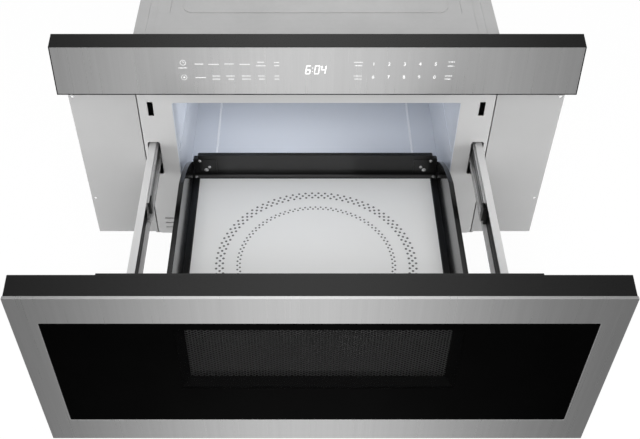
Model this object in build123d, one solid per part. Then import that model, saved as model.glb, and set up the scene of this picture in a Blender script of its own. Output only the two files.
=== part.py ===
from build123d import *
import math
import os

# Built-in microwave drawer, drawn open. Millimetres, X to the right, Y into the cabinet, Z up.
# While it is laid out, Y = 0 is the face of the kitchen cabinet, where the side flanges rest, and
# Z = 0 is the underside. On export everything moves back by half the body depth, which puts the
# origin at the centre of the underside.

# ---- overall sizes -------------------------------------------------------------------------
FACE_WIDTH = 760.0          # control panel and drawer front
BODY_WIDTH = 556.0          # chassis behind the cabinet face
BODY_HEIGHT = 367.0
BODY_DEPTH = 560.0

# ---- sheet and clearances ------------------------------------------------------------------
SHEET = 1.2                 # base, face plate and flanges
WRAP_SHEET = 1.0            # top and sides, back
FIT = 0.2                   # gap round a piece that sits in another
RUN = 0.08                  # radial gap of a shaft or pin in its bore
GAP = 0.8                   # shut drawer to face plate

# ---- chassis top ---------------------------------------------------------------------------
PRESS_DEPTH = 1.4           # channel pressed into the top
PRESS_WIDTH = 20.0
PRESS_SIDE = 50.0           # from the chassis sides
PRESS_FRONT = 107.0
PRESS_BACK = 61.0
PRESS_CORNER = 21.0
JOGGLE = (18.0, 31.0)       # shallow step along each side of the top
JOGGLE_DEPTH = 0.5

# ---- cavity --------------------------------------------------------------------------------
LINER_SHEET = 0.8
SIDE_ROOM = 58.0            # between the chassis side and the cavity, for the slides
ROOF_ROOM = 77.0            # above the cavity, for the waveguide
REAR_ROOM = 130.0           # behind the cavity
CAVITY_FLOOR = 93.0
CAVITY_HAUNCH = 38.0        # height of the sloped foot of each side wall
CAVITY_HAUNCH_IN = 5.5
SIDE_BEAD = (85.0, 88.0)    # above the floor
FLOOR_BEAD = (46.5, 49.5)   # in from the side wall
BEAD_HEIGHT = 1.2
LAMP = (300.0, 28.0)        # Y, and how far below the roof, on the right wall
LAMP_HOLE_R = 9.0
cavity_width = BODY_WIDTH - 2 * SIDE_ROOM
cavity_depth = BODY_DEPTH - REAR_ROOM
cavity_top = BODY_HEIGHT - ROOF_ROOM

# ---- control panel -------------------------------------------------------------------------
PANEL_HEIGHT = 77.4
PANEL_LAP = 33.4            # how far it hangs in front of the face plate
PANEL_TOP_REACH = 25.2      # top front edge in front of the face plate
PANEL_BOTTOM_REACH = 35.3   # bottom front edge
TOP_SLOPE = math.tan(math.radians(11.0))    # both black tops rise towards the back
PANEL_WALL = 2.5
PANEL_BACK = 1.5
BOARD = 1.6                 # control board
BOARD_SETBACK = 12.0
FASCIA_THICKNESS = 3.0
FASCIA_MARGIN = 0.8         # dark outline left round the fascia
panel_bottom = BODY_HEIGHT - PANEL_LAP
panel_top = panel_bottom + PANEL_HEIGHT

# ---- face plate ----------------------------------------------------------------------------
PLATE_INSET = 5.6           # narrower than the chassis, each side
PLATE_CORNER = 8.0
MOUTH_MARGIN = 1.0          # cavity opening outside the cavity wall
MOUTH_CORNER = 4.0
SLOT_SET_IN = 23.8          # middle of a latch slot from the chassis side
SLOT_WIDTH = 8.6
SLOT_HEIGHT = 26.8
SLOT_RISE = 1.5             # top of the slot above the cavity roof
RAIL_HOLE_MARGIN = 2.0      # round the drawer arm
RAIL_HOLE_INNER_MARGIN = 2.7
RAIL_HOLE_BELOW = 4.5
RAIL_HOLE_ABOVE = 6.0
RAIL_HOLE_CORNER = 4.0
LOUVRE_LEVELS = (14.8, 25.6, 36.9)
LOUVRE_HEIGHT = 2.2
LOUVRE_LENGTH = 70.0
LOUVRE_MARGIN = 14.4        # from the edge of the plate
plate_width = BODY_WIDTH - 2 * PLATE_INSET
slot_centre = BODY_WIDTH / 2 - SLOT_SET_IN
slot_top = cavity_top + SLOT_RISE

# ---- side flanges --------------------------------------------------------------------------
FLANGE_SEAM = 1.6           # between face plate and flange
FLANGE_HIDE = 4.2           # covered by the overhanging face
FLANGE_BOTTOM = 4.0
FLANGE_RETURN = 30.0        # leg that is spot welded to the chassis side
FLANGE_SCREW_EDGE = 5.8     # screw holes from the outer edge
FLANGE_SCREW_LOW = 86.0
FLANGE_SCREW_DOWN = 65.4    # upper holes below the top of the chassis
FLANGE_SCREW_R = 2.2
flange_out = FACE_WIDTH / 2 - FLANGE_HIDE

# ---- drawer front --------------------------------------------------------------------------
FRONT_BOTTOM = 3.5
FRONT_GAP = 11.3            # between drawer front and control panel
STEEL = 0.8                 # sheet of the steel frame
STEEL_RETURN = 4.7          # depth of its folded edges
FRONT_DEPTH = 33.7          # front face to the rear face at the sides
BLACK_INSET = 0.8           # black body inside the outline of the steel
BODY_WALL = 2.5
GLASS_SIDE = 34.6           # steel left at each side of the glass
GLASS_BELOW = 49.7
GLASS_ABOVE = 48.5
GLASS_THICKNESS = 4.0
GLASS_RECESS = 0.2
WINDOW_FRONT_WIDTH = 366.0  # tunnel behind the glass, at the glass and at the screen
WINDOW_REAR_WIDTH = 345.0
WINDOW_SILL = 10.0          # above the ceramic
WINDOW_HEADER = 12.8        # from the top of the glass
WINDOW_DROP = 16.0          # the tunnel's roof falls this much
SCREEN_DEPTH = 20.8         # screen behind the glass
SCREEN_THICKNESS = 0.6
CHOKE_MARGIN = 0.4          # narrower than the face plate
CHOKE_DEPTH = 2.5           # it stands out behind the black body
CHOKE_BOTTOM = 8.0
front_top = panel_bottom - FRONT_GAP
glass_width = FACE_WIDTH - 2 * GLASS_SIDE
glass_bottom = FRONT_BOTTOM + GLASS_BELOW
glass_top = front_top - GLASS_ABOVE

# ---- drawer box ----------------------------------------------------------------------------
BOX_CLEARANCE = 10.3        # to the cavity wall, each side
SIDE_THICKNESS = 7.5
SIDE_TOP = 204.5
SIDE_SLOPE_START = -89.2    # where the top edge starts to fall
SIDE_SLOPE_MID = (-23.2, 179.3)
SIDE_SLOPE_END = (30.8, 140.0)
SIDE_REAR = 35.8
END_ROOM = 23.2             # behind the box when the drawer is shut
BOX_BOTTOM = 98.5
BACK_FRONT = 26.2           # inner face of the back wall
BACK_THICKNESS = 8.0
BACK_TOP = 156.7
BACK_SHOULDER = 150.3
BACK_SHOULDER_IN = 7.6
BACK_CORNER = 3.0
TRAY_TOP = 115.0
TRAY_THICKNESS = 4.0
TRAY_LAP = 4.0              # ceramic under the trim
TRAY_LEDGE = 2.5
TRIM_WIDTH = 8.5            # trim strip at the sides
TRIM_THICKNESS = 1.6
TRIM_REAR = 16.8            # rear edge of the ceramic that shows
TRIM_FRONT_WIDTH = 11.0
BRACKET_SHEET = 1.0
SCREW_HEAD = 1.6
RIB_GAP = 0.5               # pan ribs under the ceramic
PAN_SHEET = 1.5
PAN_BEAM = 8.0
PAN_RIB_GAP = 44.2          # between a beam and the cross ribs
box_width = cavity_width - 2 * BOX_CLEARANCE
box_inside = box_width - 2 * SIDE_THICKNESS
travel = cavity_depth - END_ROOM - SIDE_REAR        # 371 mm

# ---- telescopic slides ---------------------------------------------------------------------
SLIDE_SHEET = 1.4
ARM_SHEET = 1.6
ARM_SET_IN = 12.8           # outer face of the arm from the chassis side
ARM_FLANGE = 11.2
ARM_TOP = 205.0
ARM_BOTTOM = 146.0
ARM_REAR = 25.0
RAIL_SPARE = 24.0           # rails longer than the travel
DRAWER_RAIL_REAR = 30.0     # with the drawer open
DRAWER_RAIL_LOW = 148.0
DRAWER_RAIL_HIGH = 201.0
DRAWER_RAIL_FLANGE = 8.1
RAIL_GAP = 4.2              # drawer rail web to middle rail web
FIXED_GAP = 5.2             # middle rail web to fixed rail web
MIDDLE_FRONT_SHUT = 64.3
FIXED_RAIL_FRONT = 20.0
BALL = 3.8
BALL_ROOM = 4.2
STOP_LEFT = (-3.8, 23.2)    # from the front end of the middle rail
STOP_RIGHT = (-21.8, 14.2)
STOP_GAP = 0.6
INNER_CAGE = (30.0, 160.0)
OUTER_CAGE_REAR = 5.0
OUTER_CAGE_SET_BACK = 16.2
BALL_PITCH = 10.0
CAGE_HALF = 1.7
RAIL_EDGE_GAP = 1.0
arm_out = BODY_WIDTH / 2 - ARM_SET_IN
rail_length = travel + RAIL_SPARE
rail_web = arm_out - ARM_SHEET
mid_web = rail_web - SLIDE_SHEET - RAIL_GAP
fixed_in = mid_web - 2 * SLIDE_SHEET - FIXED_GAP
mid_low = DRAWER_RAIL_LOW + SLIDE_SHEET + BALL_ROOM
mid_high = DRAWER_RAIL_HIGH - SLIDE_SHEET - BALL_ROOM
fixed_low = mid_low + SLIDE_SHEET + BALL_ROOM
fixed_high = mid_high - SLIDE_SHEET - BALL_ROOM
middle_front = MIDDLE_FRONT_SHUT - travel / 2

# ---- drive ---------------------------------------------------------------------------------
MODULE = 1.5
PINION_TEETH = 16
PRESSURE = math.radians(20.0)
BACKLASH = 0.3
PINION_Y = 26.0
PINION_Z = 44.0
GEAR_WIDTH = 12.0
RACK_X = 30.0
RACK_BAR = 12.0
RACK_REAR = 44.0
RACK_ROOM = 4.0             # round the rack in the face plate
SHAFT_R = 4.0
MOTOR_R = 18.0
MOTOR_LENGTH = 60.0
GEARBOX = 22.0
GEARBOX_DROP = 24.0         # underside of the gearbox below the pinion
pitch_radius = MODULE * PINION_TEETH / 2
rack_pitch_z = PINION_Z + pitch_radius
tooth_pitch = math.pi * MODULE

# ---- latch ---------------------------------------------------------------------------------
HOOK_LENGTH = 24.0
HOOK_WIDTH = 5.5
HOOK_DROP = 4.0             # top of the hook below the cavity roof
HOOK_HEIGHT = 16.0
HOOK_SHEET = 1.5
PLUNGER_R = 2.0
PLUNGER_LENGTH = 12.0
PLUNGER_TRAVEL = 3.0
PLUNGER_GAP = 0.5           # shut hook to plunger
SWITCH_DEPTH = 20.0
SWITCH_HALF = 5.0
hook_high = cavity_top - HOOK_DROP
hook_low = hook_high - HOOK_HEIGHT

# ---- microwave and cooling parts -----------------------------------------------------------
GUIDE_WIDTH = 90.0
GUIDE_HEIGHT = 40.0
GUIDE_FRONT = 175.0
GUIDE_END = 15.0            # from the back of the chassis
GUIDE_WALL = 1.0
FEED = (100.0, 60.0)        # opening in the cavity roof
STIRRER_Y = 215.0
STIRRER_SHAFT_R = 3.0
STIRRER_R = 70.0
STIRRER_COVER = 170.0
STIRRER_DISH = 14.0
MAGNETRON_BACK = 70.0       # from the back of the chassis
ANTENNA_R = 8.0
TRANSFORMER_BACK = 30.0
FAN_X = 150.0
FAN_Z = 120.0
FAN_R = 50.0
FAN_HUB_R = 14.0
FAN_BLADES = 5
FAN_DEPTH = 45.0
DUCT_WALL = 1.5
GLAND = (-215.0, 60.0)      # X and Z of the cord entry
GLAND_BORE = 5.0
GLAND_LENGTH = 14.0
magnetron_y = BODY_DEPTH - MAGNETRON_BACK
fan_front = BODY_DEPTH - WRAP_SHEET - FAN_DEPTH
roof = cavity_top + LINER_SHEET

plate_front = -SHEET
front_face = plate_front - GAP - CHOKE_DEPTH - FRONT_DEPTH - travel
front_rear = front_face + FRONT_DEPTH
choke_rear = front_rear + CHOKE_DEPTH
glass_rear = front_face + GLASS_RECESS + GLASS_THICKNESS
screen_y = glass_rear + SCREEN_DEPTH
plunger_tip = plate_front - GAP + HOOK_LENGTH + PLUNGER_GAP
switch_front = plunger_tip + PLUNGER_TRAVEL + 1.0
trim_front = choke_rear + TRIM_FRONT_WIDTH
window_bottom = TRAY_TOP + WINDOW_SILL
window_front_top = glass_top - WINDOW_HEADER
window_rear_top = window_front_top - WINDOW_DROP

nodes = {}


# ---- shapes used all over ------------------------------------------------------------------
def slab(x, y, z):
    """Block between two values on each axis."""
    size = Box(x[1] - x[0], y[1] - y[0], z[1] - z[0])
    return Pos((x[0] + x[1]) / 2, (y[0] + y[1]) / 2, (z[0] + z[1]) / 2) * size


def wide(width, y, z):
    """Block centred on X = 0."""
    return slab((-width / 2, width / 2), y, z)


def rod_x(x, y, z, radius):
    return Pos((x[0] + x[1]) / 2, y, z) * Rot(0, 90, 0) * Cylinder(radius, x[1] - x[0])


def rod_y(x, y, z, radius):
    return Pos(x, (y[0] + y[1]) / 2, z) * Rot(90, 0, 0) * Cylinder(radius, y[1] - y[0])


def rod_z(x, y, z, radius):
    return Pos(x, y, (z[0] + z[1]) / 2) * Cylinder(radius, z[1] - z[0])


def prism_x(outline, x):
    """Outline of (Y, Z) points, extruded along X."""
    face = make_face(Plane.YZ * Polyline(*outline, close=True))
    return Pos(x[0], 0, 0) * extrude(face, amount=x[1] - x[0], dir=(1, 0, 0))


def prism_y(outline, y):
    """Outline of (X, Z) points, extruded along Y."""
    face = make_face(Plane.XZ * Polyline(*outline, close=True))
    return Pos(0, y[0], 0) * extrude(face, amount=y[1] - y[0], dir=(0, 1, 0))


def round_y(x, y, z, radius):
    """Block with rounded corners seen from the front."""
    centre = Pos((x[0] + x[1]) / 2, (z[0] + z[1]) / 2)
    sketch = Plane.XZ * centre * RectangleRounded(x[1] - x[0], z[1] - z[0], radius)
    return Pos(0, y[0], 0) * extrude(sketch, amount=y[1] - y[0], dir=(0, 1, 0))


def round_z(x, y, z, radius):
    """Block with rounded corners seen from above."""
    sketch = Pos((x[0] + x[1]) / 2, (y[0] + y[1]) / 2) * RectangleRounded(x[1] - x[0], y[1] - y[0], radius)
    return Pos(0, 0, z[0]) * extrude(sketch, amount=z[1] - z[0])


def both(shape):
    """A piece and its mirror image on the other side."""
    return shape + mirror(shape, about=Plane.YZ)


# ---- chassis -------------------------------------------------------------------------------
def base_plate():
    half = BODY_WIDTH / 2 - WRAP_SHEET
    floor = slab((-half, half), (0, BODY_DEPTH - WRAP_SHEET), (0, SHEET))
    lip = slab((half - SHEET, half), (0, BODY_DEPTH - WRAP_SHEET), (SHEET, 14))
    rear = BODY_DEPTH - 60
    vents = [slab((-170 + 16 * n, -163 + 16 * n), (rear - 60, rear), (-1, SHEET + 1)) for n in range(8)]
    return floor + both(lip) - vents


def cabinet_wrap():
    half = BODY_WIDTH / 2
    outer = slab((-half, half), (0, BODY_DEPTH), (1, BODY_HEIGHT))
    inner = slab((-half + WRAP_SHEET, half - WRAP_SHEET), (-1, BODY_DEPTH + 1), (0, BODY_HEIGHT - WRAP_SHEET))
    roof_under = BODY_HEIGHT - WRAP_SHEET
    under = press_ring(WRAP_SHEET, (roof_under - PRESS_DEPTH, roof_under))
    channel = press_ring(0.0, (BODY_HEIGHT - PRESS_DEPTH, BODY_HEIGHT + 1))
    joggle = slab((half - JOGGLE[1], half - JOGGLE[0]), (-1, BODY_DEPTH + 1),
                  (BODY_HEIGHT - JOGGLE_DEPTH, BODY_HEIGHT + 1))
    return outer - inner + under - channel - both(joggle)


def press_ring(grow, z):
    """Ring of the channel pressed into the chassis top; grow is the sheet under it."""
    side = BODY_WIDTH / 2 - PRESS_SIDE + grow
    front = PRESS_FRONT - grow
    rear = BODY_DEPTH - PRESS_BACK + grow
    inset = PRESS_WIDTH + 2 * grow
    ring = round_z((-side, side), (front, rear), z, PRESS_CORNER + grow)
    return ring - round_z((inset - side, side - inset), (front + inset, rear - inset), (z[0] - 1, z[1] + 1),
                          PRESS_CORNER - 4 - grow)


def back_panel():
    half = BODY_WIDTH / 2 - WRAP_SHEET
    z = (SHEET, BODY_HEIGHT - WRAP_SHEET - PRESS_DEPTH)
    panel = slab((-half, half), (BODY_DEPTH - WRAP_SHEET, BODY_DEPTH), z)
    for row in range(9):
        for column in range(7):
            x = FAN_X + (column - 3) * 14
            level = FAN_Z + (row - 4) * 12
            panel -= slab((x - 5, x + 5), (BODY_DEPTH - 3, BODY_DEPTH + 1), (level - 2, level + 2))
    return panel - rod_y(GLAND[0], (BODY_DEPTH - 3, BODY_DEPTH + 1), GLAND[1], GLAND_BORE + 3 + FIT)


def front_plate():
    half = plate_width / 2
    y = (plate_front, 0)
    cut = (plate_front - 1, 1)
    plate = round_y((-half, half), y, (0, BODY_HEIGHT), PLATE_CORNER)
    mouth = cavity_width / 2 + MOUTH_MARGIN
    plate -= round_y((-mouth, mouth), cut, (CAVITY_FLOOR, cavity_top), MOUTH_CORNER)
    latch_x = (slot_centre - SLOT_WIDTH / 2, slot_centre + SLOT_WIDTH / 2)
    plate -= both(slab(latch_x, cut, (slot_top - SLOT_HEIGHT, slot_top)))
    rail_x = (fixed_in - RAIL_HOLE_INNER_MARGIN, arm_out + RAIL_HOLE_MARGIN)
    rail_z = (ARM_BOTTOM - RAIL_HOLE_BELOW, ARM_TOP + RAIL_HOLE_ABOVE)
    plate -= both(round_y(rail_x, cut, rail_z, RAIL_HOLE_CORNER))
    louvre = LOUVRE_MARGIN - half
    for z in LOUVRE_LEVELS:
        plate -= slab((louvre, louvre + LOUVRE_LENGTH), cut, (z - LOUVRE_HEIGHT / 2, z + LOUVRE_HEIGHT / 2))
    plate -= slab((RACK_X - RACK_ROOM, RACK_X + GEAR_WIDTH + RACK_ROOM), cut,
                  (rack_pitch_z - MODULE - RACK_ROOM, rack_pitch_z + RACK_BAR + RACK_ROOM))
    return plate


def face_flange():
    leg = slab((plate_width / 2 + FLANGE_SEAM, flange_out), (plate_front, 0), (FLANGE_BOTTOM, BODY_HEIGHT))
    side = BODY_WIDTH / 2
    fold = slab((side, side + SHEET), (0, FLANGE_RETURN), (FLANGE_BOTTOM, BODY_HEIGHT))
    for z in (FLANGE_SCREW_LOW, BODY_HEIGHT - FLANGE_SCREW_DOWN):
        leg -= rod_y(flange_out - FLANGE_SCREW_EDGE, (-5, 5), z, FLANGE_SCREW_R)
    return leg + fold


# ---- cavity --------------------------------------------------------------------------------
def cavity_section(grow):
    half = cavity_width / 2 + grow
    foot = half - CAVITY_HAUNCH_IN
    low = CAVITY_FLOOR - grow
    high = cavity_top + grow
    haunch = CAVITY_FLOOR + CAVITY_HAUNCH
    return [(-foot, low), (foot, low), (half, haunch), (half, high), (-half, high), (-half, haunch)]


def cavity_liner():
    outer = prism_y(cavity_section(LINER_SHEET), (0, cavity_depth + LINER_SHEET))
    rim = wide(cavity_width + 36, (0, LINER_SHEET), (CAVITY_FLOOR - 12, cavity_top + 14))
    liner = outer + rim - prism_y(cavity_section(0), (-1, cavity_depth))
    half = cavity_width / 2
    y = (12, cavity_depth - 12)
    side_bead = (CAVITY_FLOOR + SIDE_BEAD[0], CAVITY_FLOOR + SIDE_BEAD[1])
    liner += both(slab((half - BEAD_HEIGHT, half + 0.2), y, side_bead))
    floor_bead = (half - FLOOR_BEAD[1], half - FLOOR_BEAD[0])
    liner += both(slab(floor_bead, y, (CAVITY_FLOOR - 0.2, CAVITY_FLOOR + BEAD_HEIGHT)))
    feed = wide(FEED[0], (STIRRER_Y - FEED[1] / 2, STIRRER_Y + FEED[1] / 2), (cavity_top - 1, cavity_top + 2))
    return liner - feed - rod_x((half - 1, half + 2), LAMP[0], cavity_top - LAMP[1], LAMP_HOLE_R)


def lamp_holder():
    wall = cavity_width / 2 + LINER_SHEET
    z = cavity_top - LAMP[1]
    reach = LAMP_HOLE_R + 6
    body = slab((wall, wall + 26), (LAMP[0] - reach, LAMP[0] + reach), (z - reach, z + reach))
    return body - rod_x((wall - 1, wall + 22), LAMP[0], z, LAMP_HOLE_R + 1)


def cavity_lamp():
    wall = cavity_width / 2 + LINER_SHEET
    z = cavity_top - LAMP[1]
    glass = rod_x((wall + 4, wall + 16), LAMP[0], z, LAMP_HOLE_R - 2)
    return glass + rod_x((wall + 16, wall + 22), LAMP[0], z, LAMP_HOLE_R - 5)


def stirrer_cover():
    half = STIRRER_COVER / 2
    low = cavity_top - STIRRER_DISH
    wall = 1.5
    dish = round_z((-half, half), (STIRRER_Y - half, STIRRER_Y + half), (low, cavity_top), 18)
    room = half - wall
    y = (STIRRER_Y - room, STIRRER_Y + room)
    return dish - round_z((-room, room), y, (low + wall, cavity_top + 1), 18 - wall)


def stirrer_blades():
    z = cavity_top - STIRRER_DISH / 2
    hub = rod_z(0, STIRRER_Y, (z - 3, z + 3), 9)
    shaft = rod_z(0, STIRRER_Y, (z, roof + GUIDE_HEIGHT + 12), STIRRER_SHAFT_R)
    blade = Pos(STIRRER_R / 2, 0, 0) * Rot(12, 0, 0) * Box(STIRRER_R, 22, 0.8)
    for n in range(3):
        hub += Pos(0, STIRRER_Y, z) * Rot(0, 0, 120 * n + 30) * blade
    return hub + shaft


def stirrer_motor():
    low = roof + GUIDE_HEIGHT
    body = rod_z(0, STIRRER_Y, (low, low + 15), 22)
    tabs = slab((-31, 31), (STIRRER_Y - 5, STIRRER_Y + 5), (low, low + 1))
    return body + tabs - rod_z(0, STIRRER_Y, (low - 1, low + 12.5), STIRRER_SHAFT_R + RUN)


def waveguide():
    half = GUIDE_WIDTH / 2
    rear = BODY_DEPTH - GUIDE_END
    wall = GUIDE_WALL
    duct = slab((-half, half), (GUIDE_FRONT, rear), (roof, roof + GUIDE_HEIGHT))
    z = (roof + wall, roof + GUIDE_HEIGHT - wall)
    room = slab((wall - half, half - wall), (GUIDE_FRONT + wall, rear - wall), z)
    feed = slab((6 - half, half - 6), (STIRRER_Y - FEED[1] / 2, STIRRER_Y + FEED[1] / 2), (roof - 1, roof + 2))
    launcher = rod_z(0, magnetron_y, (roof - 1, roof + 2), ANTENNA_R + 1)
    bore = rod_z(0, STIRRER_Y, (roof, roof + GUIDE_HEIGHT + 1), STIRRER_SHAFT_R + RUN)
    return duct - room - feed - launcher - bore


def magnetron():
    y = (magnetron_y - 36, magnetron_y + 36)
    yoke = slab((-42, 42), y, (roof - 82, roof)) - slab((-43, 43), (y[0] + 4, y[1] - 4), (roof - 78, roof - 4))
    anode = rod_z(0, magnetron_y, (roof - 79, roof - 1), 17)
    magnets = [rod_z(0, magnetron_y, (low, low + 14), 27) for low in (roof - 78, roof - 18)]
    filter_box = slab((-30, 30), y, (roof - 112, roof - 82))
    antenna = rod_z(0, magnetron_y, (roof - 1, roof + 18), ANTENNA_R)
    return yoke + anode + magnets + filter_box + antenna


def magnetron_fins():
    fins = []
    for n in range(6):
        z = roof - 60 + 8 * n
        fin = slab((-40, 40), (magnetron_y - 30, magnetron_y + 30), (z - 0.4, z + 0.4))
        fins.append(fin - rod_z(0, magnetron_y, (z - 1, z + 1), 17))
    return Part() + fins


# ---- high-voltage and cooling parts behind the cavity ---------------------------------------
def transformer_core():
    y = (BODY_DEPTH - TRANSFORMER_BACK - 78, BODY_DEPTH - TRANSFORMER_BACK)
    stack = slab((-205, -115), y, (SHEET, SHEET + 74))
    return stack - slab((-191, -129), (y[0] - 1, y[1] + 1), (SHEET + 14, SHEET + 60))


def transformer_windings():
    y = (BODY_DEPTH - TRANSFORMER_BACK - 86, BODY_DEPTH - TRANSFORMER_BACK + 8)
    coils = slab((-191, -129), y, (SHEET + 14, SHEET + 60))
    return coils - slab((-162, -158), (y[0] - 1, y[1] + 1), (SHEET, SHEET + 80))


def capacitor():
    middle = BODY_DEPTH - TRANSFORMER_BACK - 51
    can = round_z((-92, -42), (middle - 17, middle + 17), (SHEET, SHEET + 92), 15)
    for x in (-78, -56):
        can += rod_z(x, middle, (SHEET + 92, SHEET + 102), 3)
    return can


def fan_housing():
    y = (fan_front, fan_front + FAN_DEPTH)
    shell = slab((FAN_X - 60, FAN_X + 60), y, (FAN_Z - 60, FAN_Z + 60))
    shell -= rod_y(FAN_X, (y[0] - 1, y[1] + 1), FAN_Z, FAN_R + 3)
    spider = slab((FAN_X - 58, FAN_X + 58), (y[0], y[0] + 3), (FAN_Z - 4, FAN_Z + 4))
    spider += slab((FAN_X - 4, FAN_X + 4), (y[0], y[0] + 3), (FAN_Z - 58, FAN_Z + 58))
    foot = slab((FAN_X - 60, FAN_X + 60), y, (SHEET, FAN_Z - 60))
    foot -= slab((FAN_X - 52, FAN_X + 52), (y[0] + 2, y[1] + 1), (SHEET - 1, FAN_Z - 62))
    return shell + spider + foot - rod_y(FAN_X, (y[0] - 1, y[0] + 4), FAN_Z, 6)


def fan_motor():
    rear = fan_front
    body = slab((FAN_X - 24, FAN_X + 24), (rear - 26, rear), (FAN_Z - 20, FAN_Z + 28))
    return body - rod_y(FAN_X, (rear - 20, rear + 1), FAN_Z, STIRRER_SHAFT_R + RUN)


def fan_blades():
    rear = fan_front
    hub = rod_y(FAN_X, (rear + 12, rear + 30), FAN_Z, FAN_HUB_R)
    shaft = rod_y(FAN_X, (rear - 18, rear + 14), FAN_Z, STIRRER_SHAFT_R)
    reach = FAN_R - FAN_HUB_R + 2
    blade = Pos(FAN_HUB_R - 2 + reach / 2, 0, 0) * Rot(32, 0, 0) * Box(reach, 1.4, 26)
    for n in range(FAN_BLADES):
        hub += Pos(FAN_X, rear + 21, FAN_Z) * Rot(0, 360 / FAN_BLADES * n + 10, 0) * blade
    return hub + shaft


def air_duct():
    """Leads the fan's air over the magnetron fins."""
    y = (magnetron_y - 34, magnetron_y + 22)
    z = (roof - 102.8, roof - 6.8)
    duct = slab((42, 100), y, z)
    return duct - slab((40, 110), (y[0] + DUCT_WALL, y[1] - DUCT_WALL), (z[0] + DUCT_WALL, z[1] - DUCT_WALL))


def thermal_cutout():
    return rod_z(120, 330, (roof, roof + 8), 9) + slab((106, 134), (325, 335), (roof, roof + 1))


def filter_board():
    rear = BODY_DEPTH - 40
    low = roof + 39.2
    top = low + 1.6
    board = slab((110, 210), (rear - 80, rear), (low, top))
    coils = rod_z(130, rear - 60, (top, top + 18), 9) + rod_z(160, rear - 60, (top, top + 14), 8)
    blocks = slab((180, 204), (rear - 74, rear - 50), (top, top + 16))
    blocks += slab((120, 150), (rear - 34, rear - 8), (top, top + 11))
    feet = [rod_z(x, y, (roof + 1, low), 3) for x in (114, 206) for y in (rear - 76, rear - 4)]
    shelf = slab((104, 216), (cavity_depth - 40, rear + 4), (roof, roof + 1))
    return board + coils + blocks + feet + shelf


def cord_gland():
    x, z = GLAND
    inside = BODY_DEPTH - WRAP_SHEET
    sleeve = rod_y(x, (inside - 4, inside - 4 + GLAND_LENGTH), z, GLAND_BORE + 3)
    collar = rod_y(x, (BODY_DEPTH, BODY_DEPTH + 3), z, GLAND_BORE + 6)
    return sleeve + collar - rod_y(x, (inside - 5, inside + GLAND_LENGTH), z, GLAND_BORE)


# ---- control panel -------------------------------------------------------------------------
def panel_outline(wall=0.0, front=0.0, rear=0.0):
    """(Y, Z) outline of the panel, or of the room inside walls this thick."""
    top = plate_front - PANEL_TOP_REACH
    bottom = plate_front - PANEL_BOTTOM_REACH
    rise = PANEL_TOP_REACH * TOP_SLOPE
    return [
        (top + front, panel_top - wall),
        (plate_front - rear, panel_top + rise - wall),
        (plate_front - rear, panel_bottom + wall),
        (bottom + front, panel_bottom + wall),
    ]


def control_housing():
    half = FACE_WIDTH / 2
    shell = prism_x(panel_outline(), (-half, half))
    room = panel_outline(PANEL_WALL, FASCIA_THICKNESS - 0.5, PANEL_BACK)
    shell -= prism_x(room, (-half + PANEL_WALL, half - PANEL_WALL))
    return shell - fascia_blank(0.0)


def fascia_blank(gap):
    """Slice of the panel's leaning front, inside its dark outline."""
    top = plate_front - PANEL_TOP_REACH
    bottom = plate_front - PANEL_BOTTOM_REACH
    lean = (top - bottom) / (panel_top - panel_bottom)
    low = panel_bottom + FASCIA_MARGIN + gap
    outline = [
        (bottom + lean * (low - panel_bottom), low),
        (top, panel_top),
        (top + FASCIA_THICKNESS - gap, panel_top),
        (bottom + lean * (low - panel_bottom) + FASCIA_THICKNESS - gap, low),
    ]
    half = FACE_WIDTH / 2 - FASCIA_MARGIN - gap
    below_edge = wide(FACE_WIDTH, (-100, 0), (panel_bottom, panel_top - FASCIA_MARGIN - gap))
    return prism_x(outline, (-half, half)) & below_edge


def control_board():
    y = plate_front - BOARD_SETBACK
    z = (panel_bottom + 8.4, panel_top - 9)
    board = wide(300, (y - BOARD, y), z)
    chips = [slab((x, x + 18), (y, y + 3), (z[0] + 8, z[0] + 26)) for x in (-120, -60, 10, 80)]
    corners = [(x, level) for x in (-144, 144) for level in (z[0] + 4, z[1] - 4)]
    posts = [rod_y(x, (y, plate_front - PANEL_BACK), level, 3) for x, level in corners]
    return board + chips + posts


def display_module():
    y = plate_front - BOARD_SETBACK - BOARD
    return slab((-40, 36), (y - 5, y), (panel_top - 55, panel_top - 19))


# ---- drawer front --------------------------------------------------------------------------
def steel_frame():
    half = FACE_WIDTH / 2
    outer = slab((-half, half), (front_face, front_face + STEEL_RETURN), (FRONT_BOTTOM, front_top))
    room = slab((-half + STEEL, half - STEEL), (front_face + STEEL, front_face + 20),
                (FRONT_BOTTOM + STEEL, front_top - STEEL))
    glass = (glass_width / 2 + FIT)
    z = (glass_bottom - FIT, glass_top + FIT)
    hole = round_y((-glass, glass), (front_face - 1, front_face + 20), z, 2)
    return outer - room - hole


def drawer_glass():
    half = glass_width / 2
    return round_y((-half, half), (front_face + GLASS_RECESS, glass_rear), (glass_bottom, glass_top), 1.8)


def front_outline(inset, rear):
    """(Y, Z) outline of the black body behind the steel, with its rising top."""
    face = front_face + STEEL
    bend = front_face + STEEL_RETURN
    low = FRONT_BOTTOM + STEEL
    high = front_top - STEEL
    return [
        (face + inset, low + inset),
        (face + inset, high - inset),
        (bend, high - inset),
        (rear, high - inset + (rear - bend) * TOP_SLOPE),
        (rear, low + inset),
    ]


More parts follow.
